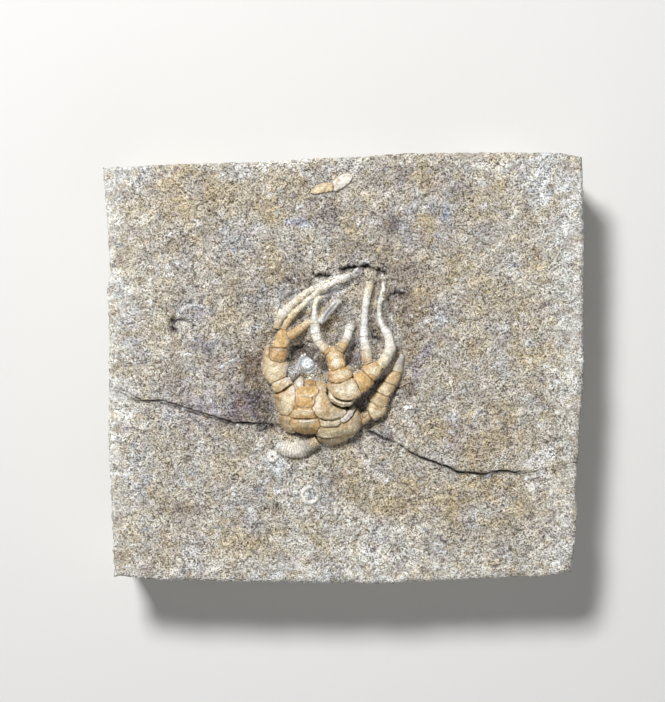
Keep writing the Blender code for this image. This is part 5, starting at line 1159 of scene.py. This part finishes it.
def plateSkin(name, plates, top, slot, node, pillow=0.07, seamDark=1.0, rusting=1.0):
    points, faces = plateHull(plates, top, plateForm["sunk"])
    places, normals, polygons = remeshed(points, faces, 8)
    x, y, z = places.T
    which, fit, second = plateFit(x, y, plates)
    apart = np.maximum(0, (fit - second) / 2 + 0.04 * lumps(x, y, 0.5, 81))
    rim = np.clip(fit, 0, apart)
    cut, dark, ridgeHighlight = creaseCut(x, y)
    below = np.maximum(top(x, y) - z, 0)         # down the side, where the patterns run on aslant
    u, v = x + 0.8 * below, y - 0.6 * below
    ground = groundHeight(x, y)
    steep = 1 - np.clip(1.7 * normals[:, 2], 0, 1)
    cling = 0.35 + plateForm["cling"] * steep * np.maximum(top(x, y) - ground, 0)
    cling += 0.3 * lumps(x, y, 0.8, 88) + 0.5 * steep * lumps(u, v, 1.1, 89)
    bedded = easeIn((ground + cling - z) / 0.5) * np.where(steep > 0.3, easeIn((below - 0.3) / 0.7), 1)
    relief = plateRelief(x, y, u, v, which, apart, plates, pillow)
    relief += steep * bedded * (plateForm["foot"] + 0.2 * lumps(u, v, 0.7, 86))
    places = places + normals * relief[:, None]
    places[:, 2] -= cut * np.clip(normals[:, 2] * 1.5, 0, 1)
    piece = makePiece(name, places, polygons, plateCalcite, slot, node)
    paint(piece, "plateTint", weatheredAndHighlit(u, v, plateTints(u, v, which, rim, plates), ridgeHighlight, rusting))
    # seam lines darkened partly as their colour and partly as painted shade; the painted shade of the
    # creases goes into the same attribute
    seamAndShade = seamDark * np.exp(-(apart / 0.095) ** 2) * (1 - 0.8 * bedded)
    seamAndShade *= 0.85 + 0.6 * lumps(u, v, 0.9, 88)
    paint(piece, "seamAndShade", np.clip(np.maximum(seamAndShade, dark), 0, 1))
    paint(piece, "bedded", bedded)


plateSkin("cup_plates", cupPlates, cupTop, "cup_tan", "cup", 0.18, 0.7)
for pieceName, plates, ridgeName, slotName, nodeName in [
        ("left_base_plates", leftBasePlates, "left", "orange_plate", "left_arm_base"),
        ("middle_base_plates", middleBasePlates, "middle", "cream_plate", "middle_arm_base"),
        ("left_fork_plates", middleLeftPlates, "middleLeft", "orange_plate", "middle_arm_left_fork"),
        ("right_fork_plates", middleRightPlates, "middleRight", "orange_plate", "middle_arm_right_fork"),
        ("right_base_plates", rightBasePlates, "right", "cup_tan", "right_arm_base")]:
    plateSkin(pieceName, plates, ridgeTop(baseRidges[ridgeName]), slotName, nodeName)


# round arms: shades along the arm, joints at distances from its start, how its end is finished,
# how dark its joints are, how much matrix clings to it at each end, how rough it is
armLooks = {
    "left_arm_inner_branch": {
        "shades": ["orange", "honey", "buff", "cream"], "joints": [1.7, 3.4], "end": "tip",
        "seamAndShade": 0.3, "dust": (0.0, 0.3), "rough": 0.05, "rusting": 0.8, "slot": "orange_plate"},
    "left_arm_outer_branch": {
        "shades": ["buff", "chalk", "cream", "white", "frost"], "joints": [2.0, 4.0, 6.1, 8.0, 10.2],
        "end": "tip", "seamAndShade": 0.3, "dust": (0.5, 0.8), "rough": 0.15},
    "left_arm_middle_branch": {
        "shades": ["honey", "cream", "chalk", "chalk", "white"], "joints": [1.6, 3.4, 5.3, 7.2, 9.2, 11.4],
        "end": "tip", "seamAndShade": 0.25, "dust": (0.3, 0.65), "rough": 0.13},
    "middle_arm_first": {
        "shades": ["honey", "chalk", "chalk", "chalk", "chalk", "cream"], "joints": [0.55, 3.1, 4.6, 6.6],
        "end": "tip", "seamAndShade": 0.7, "dust": (0.0, 0.3), "rough": 0.06},
    "middle_arm_strand": {
        "shades": ["frost", "cool", "blue", "cool", "frost"], "joints": [],
        "end": "tip", "seamAndShade": 0.0, "dust": (0.4, 0.1), "rough": 0.07},
    "middle_arm_second": {
        "shades": ["buff", "honey", "chalk", "white", "white"], "joints": [0.5, 2.5, 4.6],
        "end": "broken", "seamAndShade": 0.9, "dust": (0.0, 0.0), "rough": 0.03},
    "middle_arm_third": {
        "shades": ["buff", "chalk", "white", "frost", "white", "chalk", "cream"],
        "joints": [0.4, 2.7, 5.4, 7.7], "end": "broken", "seamAndShade": 0.9, "dust": (0.0, 0.6), "rough": 0.06},
    "middle_arm_fourth": {
        "shades": ["cream", "chalk", "white", "frost", "frost"], "joints": [0.6, 2.6, 7.0],
        "end": "tip", "seamAndShade": 0.4, "dust": (0.15, 0.7), "rough": 0.11},
    "right_arm_tip": {
        "shades": ["cream", "ash", "cool"], "joints": [1.8],
        "end": "tip", "seamAndShade": 0.4, "dust": (0.3, 0.6), "rough": 0.08, "slot": "cup_tan"}}
armForm = {"ring": 0.11, "sides": 26, "jointDepth": 0.09, "jointReach": 0.08, "barrel": 0.04}


def smoothPath(path, step):             # the path with its corners cut, at even steps
    points = np.array(path, float)
    for _ in range(3):
        left = 0.75 * points[:-1] + 0.25 * points[1:]
        right = 0.25 * points[:-1] + 0.75 * points[1:]
        cut = np.stack([left, right], 1).reshape(-1, points.shape[1])
        points = np.concatenate([points[:1], cut, points[-1:]])
    along = np.append(0, np.cumsum(np.hypot(*np.diff(points[:, :2], axis=0).T)))
    count = max(3, int(along[-1] / step))
    wanted = np.linspace(0, along[-1], count)
    return wanted, np.stack([np.interp(wanted, along, column) for column in points.T], 1)


def armRings(path, look, form, ridges=None):
    along, line = smoothPath(path, form["ring"])
    half = line[:, 3] / 2
    gap = np.full(len(along), 9.0)
    for joint in look["joints"]:
        gap = np.minimum(gap, abs(along - joint))
    half = half * (1 + form["barrel"] * np.exp(-gap / 0.4))
    half = half * (1 + 1.6 * look["rough"] * lumps(line[:, 0], line[:, 1], 1.5, 90))
    notch = form["jointDepth"] * np.exp(-(gap / form["jointReach"]) ** 2)
    half = half - notch * np.clip(half * 1.2, 0.4, 1)
    if ridges:
        half = half + ridges[1] * np.sin(2 * pi * along / ridges[0])
    left = along[-1] - along
    ending = 0.5 * line[-1, 3] if look["end"] == "tip" else 0.15
    half = half * np.sqrt(np.clip(1 - (1 - np.clip(left / ending, 0, 1)) ** 2, 0.0004, 1))
    run = np.gradient(line[:, :2], axis=0)
    run /= np.linalg.norm(run, axis=1)[:, None]
    turn = np.linspace(0, 2 * pi, form["sides"], endpoint=False)
    side, up = np.cos(turn)[None, :] * half[:, None], np.sin(turn)[None, :] * half[:, None]
    x = line[:, 0, None] + side * run[:, 1, None]
    y = line[:, 1, None] - side * run[:, 0, None]
    z = line[:, 2, None] - line[:, 3, None] / 2 + up
    rough = look["rough"] * (lumps(x + z, y, 0.8, 91) + 0.6 * lumps(x, y + z, 0.36, 92))
    rough = rough * np.minimum(1, half[:, None] * 4)
    x = x + rough * np.cos(turn)[None, :] * run[:, 1, None]
    y = y - rough * np.cos(turn)[None, :] * run[:, 0, None]
    z = z + rough * np.sin(turn)[None, :]
    return along, gap, np.stack([x, y, z], -1)


def tubeFaces(rings, sides):
    index = np.arange(rings * sides).reshape(rings, sides)
    after = np.roll(index, -1, 1)
    quads = np.stack([index[:-1], after[:-1], after[1:], index[1:]], -1).reshape(-1, 4)
    faces = [tuple(quad) for quad in quads.tolist()]
    return faces + [tuple(index[0, ::-1].tolist()), tuple(index[-1].tolist())]


def shadeAlong(share, names):
    stops = np.array([shades[name] for name in names])
    places = np.linspace(0, 1, len(names))
    return np.stack([np.interp(share, places, stops[:, k]) for k in range(3)], -1)


def roundArm(name, node, path, look, slot, form=armForm, material=bleachedCalcite, ridges=None):
    along, gap, rings = armRings(path, look, form, ridges)
    points = rings.reshape(-1, 3)
    cut, dark, ridgeHighlight = creaseCut(points[:, 0], points[:, 1])
    upward = np.sin(np.linspace(0, 2 * pi, form["sides"], endpoint=False))
    points[:, 2] -= 0.5 * cut * np.tile(np.clip(upward, 0, 1), len(along))
    piece = makePiece(name, points, tubeFaces(*rings.shape[:2]), material, slot, node)
    x, y, z = points.T
    share = np.repeat(along / along[-1], form["sides"]) + 0.08 * lumps(x, y, 1.2, 94)
    tint = shadeAlong(np.clip(share, 0, 1), look["shades"])
    paint(piece, "plateTint", weatheredAndHighlit(x, y, tint, ridgeHighlight, look.get("rusting", 0.2)))
    # dark joints, with the painted shade of the creases in the same attribute
    seamAndShade = look["seamAndShade"] * np.exp(-(np.repeat(gap, form["sides"]) / 0.08) ** 2)
    seamAndShade *= 1 + lumps(x, y, 0.7, 88)
    paint(piece, "seamAndShade", np.clip(np.maximum(seamAndShade, dark), 0, 1))
    ground = groundHeight(x, y)
    cling = look["dust"][0] + (look["dust"][1] - look["dust"][0]) * share
    cling = cling * (0.8 + 1.0 * lumps(x, y, 0.9, 89) + 0.6 * lumps(x, y, 0.4, 96))
    paint(piece, "bedded", np.clip(easeIn((ground + 0.15 + cling - z) / 0.4), 0, 0.92))


for armName, armPath in armPaths.items():
    armLook = armLooks[armName]
    roundArm(armName + "_skin", armName, armPath, armLook, armLook.get("slot", "bleached_arm"))


# the stem stub, with the fine ridges of its discs
stemLook = {"path": [(-13.5, -15.2, 18.6, 1.6), (-13.0, -15.5, 18.9, 2.4), (-12.2, -15.8, 19.1, 2.9),
                     (-11.2, -16.1, 19.25, 3.1), (-9.8, -16.3, 19.35, 3.25), (-8.4, -16.1, 19.35, 3.2),
                     (-7.2, -15.6, 19.3, 2.9), (-6.0, -15.0, 19.2, 2.4), (-5.2, -14.5, 19.0, 2.0)],
            "ridge": (0.5, 0.1), "shades": ["buff", "ash", "chalk", "chalk", "frost"], "joints": [],
            "end": "tip", "seamAndShade": 0.0, "dust": (0.2, 0.3), "rough": 0.07}
stemForm = dict(armForm, ring=0.07, sides=60, jointDepth=0.0)
roundArm("stem_stub", "stem", stemLook["path"][::-1], stemLook, "cream_plate", stemForm,
         bleachedCalcite, stemLook["ridge"])


# low round stem discs lying in the matrix: place, radius, heights and shades from the middle outwards
discForm = {"rings": 40, "turns": 90, "sunk": 1.2}
discLook = {"centre": (-7.15, 0.95), "radius": 2.3,
            "profile": [(0, 0.95), (0.4, 0.85), (0.55, 0.55), (0.66, 0.22), (0.78, 0.2), (0.9, 0.08),
                        (1.0, -0.25)],
            "shades": ["ice", "ice", "frost", "ice", "ice", "frost", "blue", "blue", "cool", "blue", "ash"]}
smallDiscLook = {"centre": (-14.2, -17.6), "radius": 1.3,
                 "profile": [(0, 0.0), (0.12, 0.35), (0.2, 0.55), (0.6, 0.6), (0.85, 0.45), (1.0, -0.1)],
                 "shades": ["dark", "chalk", "white", "chalk"]}


def discPiece(name, node, look):
    centreX, centreY = look["centre"]
    share = np.linspace(0, 1, discForm["rings"])[:, None]
    bearing = np.linspace(0, 2 * pi, discForm["turns"], endpoint=False)[None, :]
    uneven = 1 + 0.12 * lumps(1.7 * np.cos(bearing), 1.7 * np.sin(bearing), 1.0, 95)
    reach = look["radius"] * share * uneven
    x, y = centreX + reach * np.cos(bearing), centreY + reach * np.sin(bearing)
    floor = smoothGround(np.array([centreX]), np.array([centreY]))[0][0]
    z = floor + (smoothGround(x, y)[0] - floor) * easeIn((share - 0.5) / 0.4)
    z = z + readOff(np.broadcast_to(share, x.shape), look["profile"])
    z = z + 0.09 * lumps(x, y, 0.5, 97) + 0.05 * lumps(x, y, 0.25, 99)
    upper = np.stack([x, y, z], -1)
    under = upper[::-1].copy()
    under[..., 2] = floor - discForm["sunk"]
    points = np.concatenate([upper, under]).reshape(-1, 3)
    faces = tubeFaces(2 * discForm["rings"], discForm["turns"])[:-2]
    piece = makePiece(name, points, faces, blueCalcite, "columnal_white", node)
    away = np.hypot(points[:, 0] - centreX, points[:, 1] - centreY) / look["radius"]
    ragged = 0.2 * lumps(points[:, 0], points[:, 1], 0.5, 98)
    paint(piece, "plateTint", shadeAlong(np.clip(away, 0, 1), look["shades"]))
    paint(piece, "seamAndShade", np.zeros(len(points)))
    paint(piece, "bedded", easeIn((away - 0.75 + ragged) / 0.3))


discPiece("disc_columnal_face", "disc_columnal", discLook)
discPiece("small_columnal_face", "small_columnal", smallDiscLook)

ringLook = {"centre": (-6.7, -25.3), "radius": 1.55, "open": (5, 75), "width": 0.95, "rise": 0.42,
            "shades": ["chalk", "white", "chalk"], "joints": [], "end": "tip", "seamAndShade": 0.0,
            "dust": (0.25, 0.25), "rough": 0.08}


def ringPath():                         # three quarters of a circle, thinning towards both ends
    centreX, centreY = ringLook["centre"]
    start, end = ringLook["open"]
    path = []
    for k in range(25):
        bearing = radians(end + (360 + start - end) * k / 24)
        x, y = centreX + ringLook["radius"] * cos(bearing), centreY + ringLook["radius"] * sin(bearing)
        top = slabForm["level"] + ringLook["rise"]
        path.append((x, y, top, ringLook["width"] * (1 - 0.35 * abs(k / 12 - 1) ** 3)))
    return path


roundArm("ring_columnal_face", "ring_columnal", ringPath(), ringLook, "columnal_white", armForm,
         blueCalcite)

shellPlates = [
    ([(-7.0, 35.0), (-6.6, 35.9), (-5.6, 36.8), (-4.0, 37.3), (-2.4, 37.4), (-2.1, 36.4), (-2.2, 35.2),
      (-4.0, 35.0), (-5.8, 34.6)], "cream", "buff", -0.2, 0.0, 0.0),
    ([(-2.2, 37.4), (-1.6, 38.2), (-0.4, 38.9), (1.0, 39.2), (2.1, 38.9), (2.1, 38.0), (1.4, 37.0),
      (0.4, 36.3), (-0.8, 35.6), (-2.0, 35.2), (-1.9, 36.4)], "chalk", "pale", -0.2, 0.0, 0.0)]


def shellTop(x, y):
    return smoothGround(x, y)[0] + 0.5


plateSkin("shell_fragment_face", shellPlates, shellTop, "cream_plate", "shell_fragment")
print("fossil pieces made")


# floor, light and camera
studio = {"floor": (0.78, 0.775, 0.76), "key": 5.5, "keyPlace": (-0.22, 0.38, 0.58), "keySize": 0.16,
          "fill": 0.8, "fillPlace": (0.2, -0.5, 0.45), "sky": 0.15}
view = {"centre": (-2.2, 3.5), "away": 400.0, "perPixel": 0.2, "height": 702}


def addLight(name, power, place, size):
    lamp = bpy.data.lights.new(name, "AREA")
    lamp.energy, lamp.size = power, size
    item = bpy.data.objects.new(name, lamp)
    item.location = place
    aim = -item.location.normalized()
    item.rotation_euler = aim.to_track_quat("-Z", "Y").to_euler()
    bpy.context.scene.collection.objects.link(item)


def buildStudio():
    bpy.ops.mesh.primitive_plane_add(size=4)
    floor = bpy.context.object
    floor.name = "studio_floor"
    material, _, shader = newMaterial("plain pale floor", 0.8)
    shader.inputs["Base Color"].default_value = (*studio["floor"], 1)
    floor.data.materials.append(material)
    addLight("key", studio["key"], studio["keyPlace"], studio["keySize"])
    addLight("fill", studio["fill"], studio["fillPlace"], 0.6)
    world = bpy.data.worlds.new("studio")
    world.use_nodes = True
    world.node_tree.nodes["Background"].inputs[0].default_value = (1, 1, 1, 1)
    world.node_tree.nodes["Background"].inputs[1].default_value = studio["sky"]
    bpy.context.scene.world = world


def buildCamera():
    lens = bpy.data.cameras.new("camera")
    lens.sensor_fit = "VERTICAL"
    lens.angle = 2 * atan(view["height"] * view["perPixel"] / 2 / view["away"])
    lens.clip_start, lens.clip_end = 0.01, 10
    camera = bpy.data.objects.new("camera", lens)
    camera.location = (view["centre"][0] * mm, view["centre"][1] * mm,
                       (slabForm["level"] + view["away"]) * mm)
    bpy.context.scene.collection.objects.link(camera)
    bpy.context.scene.camera = camera


buildStudio()
buildCamera()
bpy.context.scene.view_settings.view_transform = "Standard"
print("studio ready")
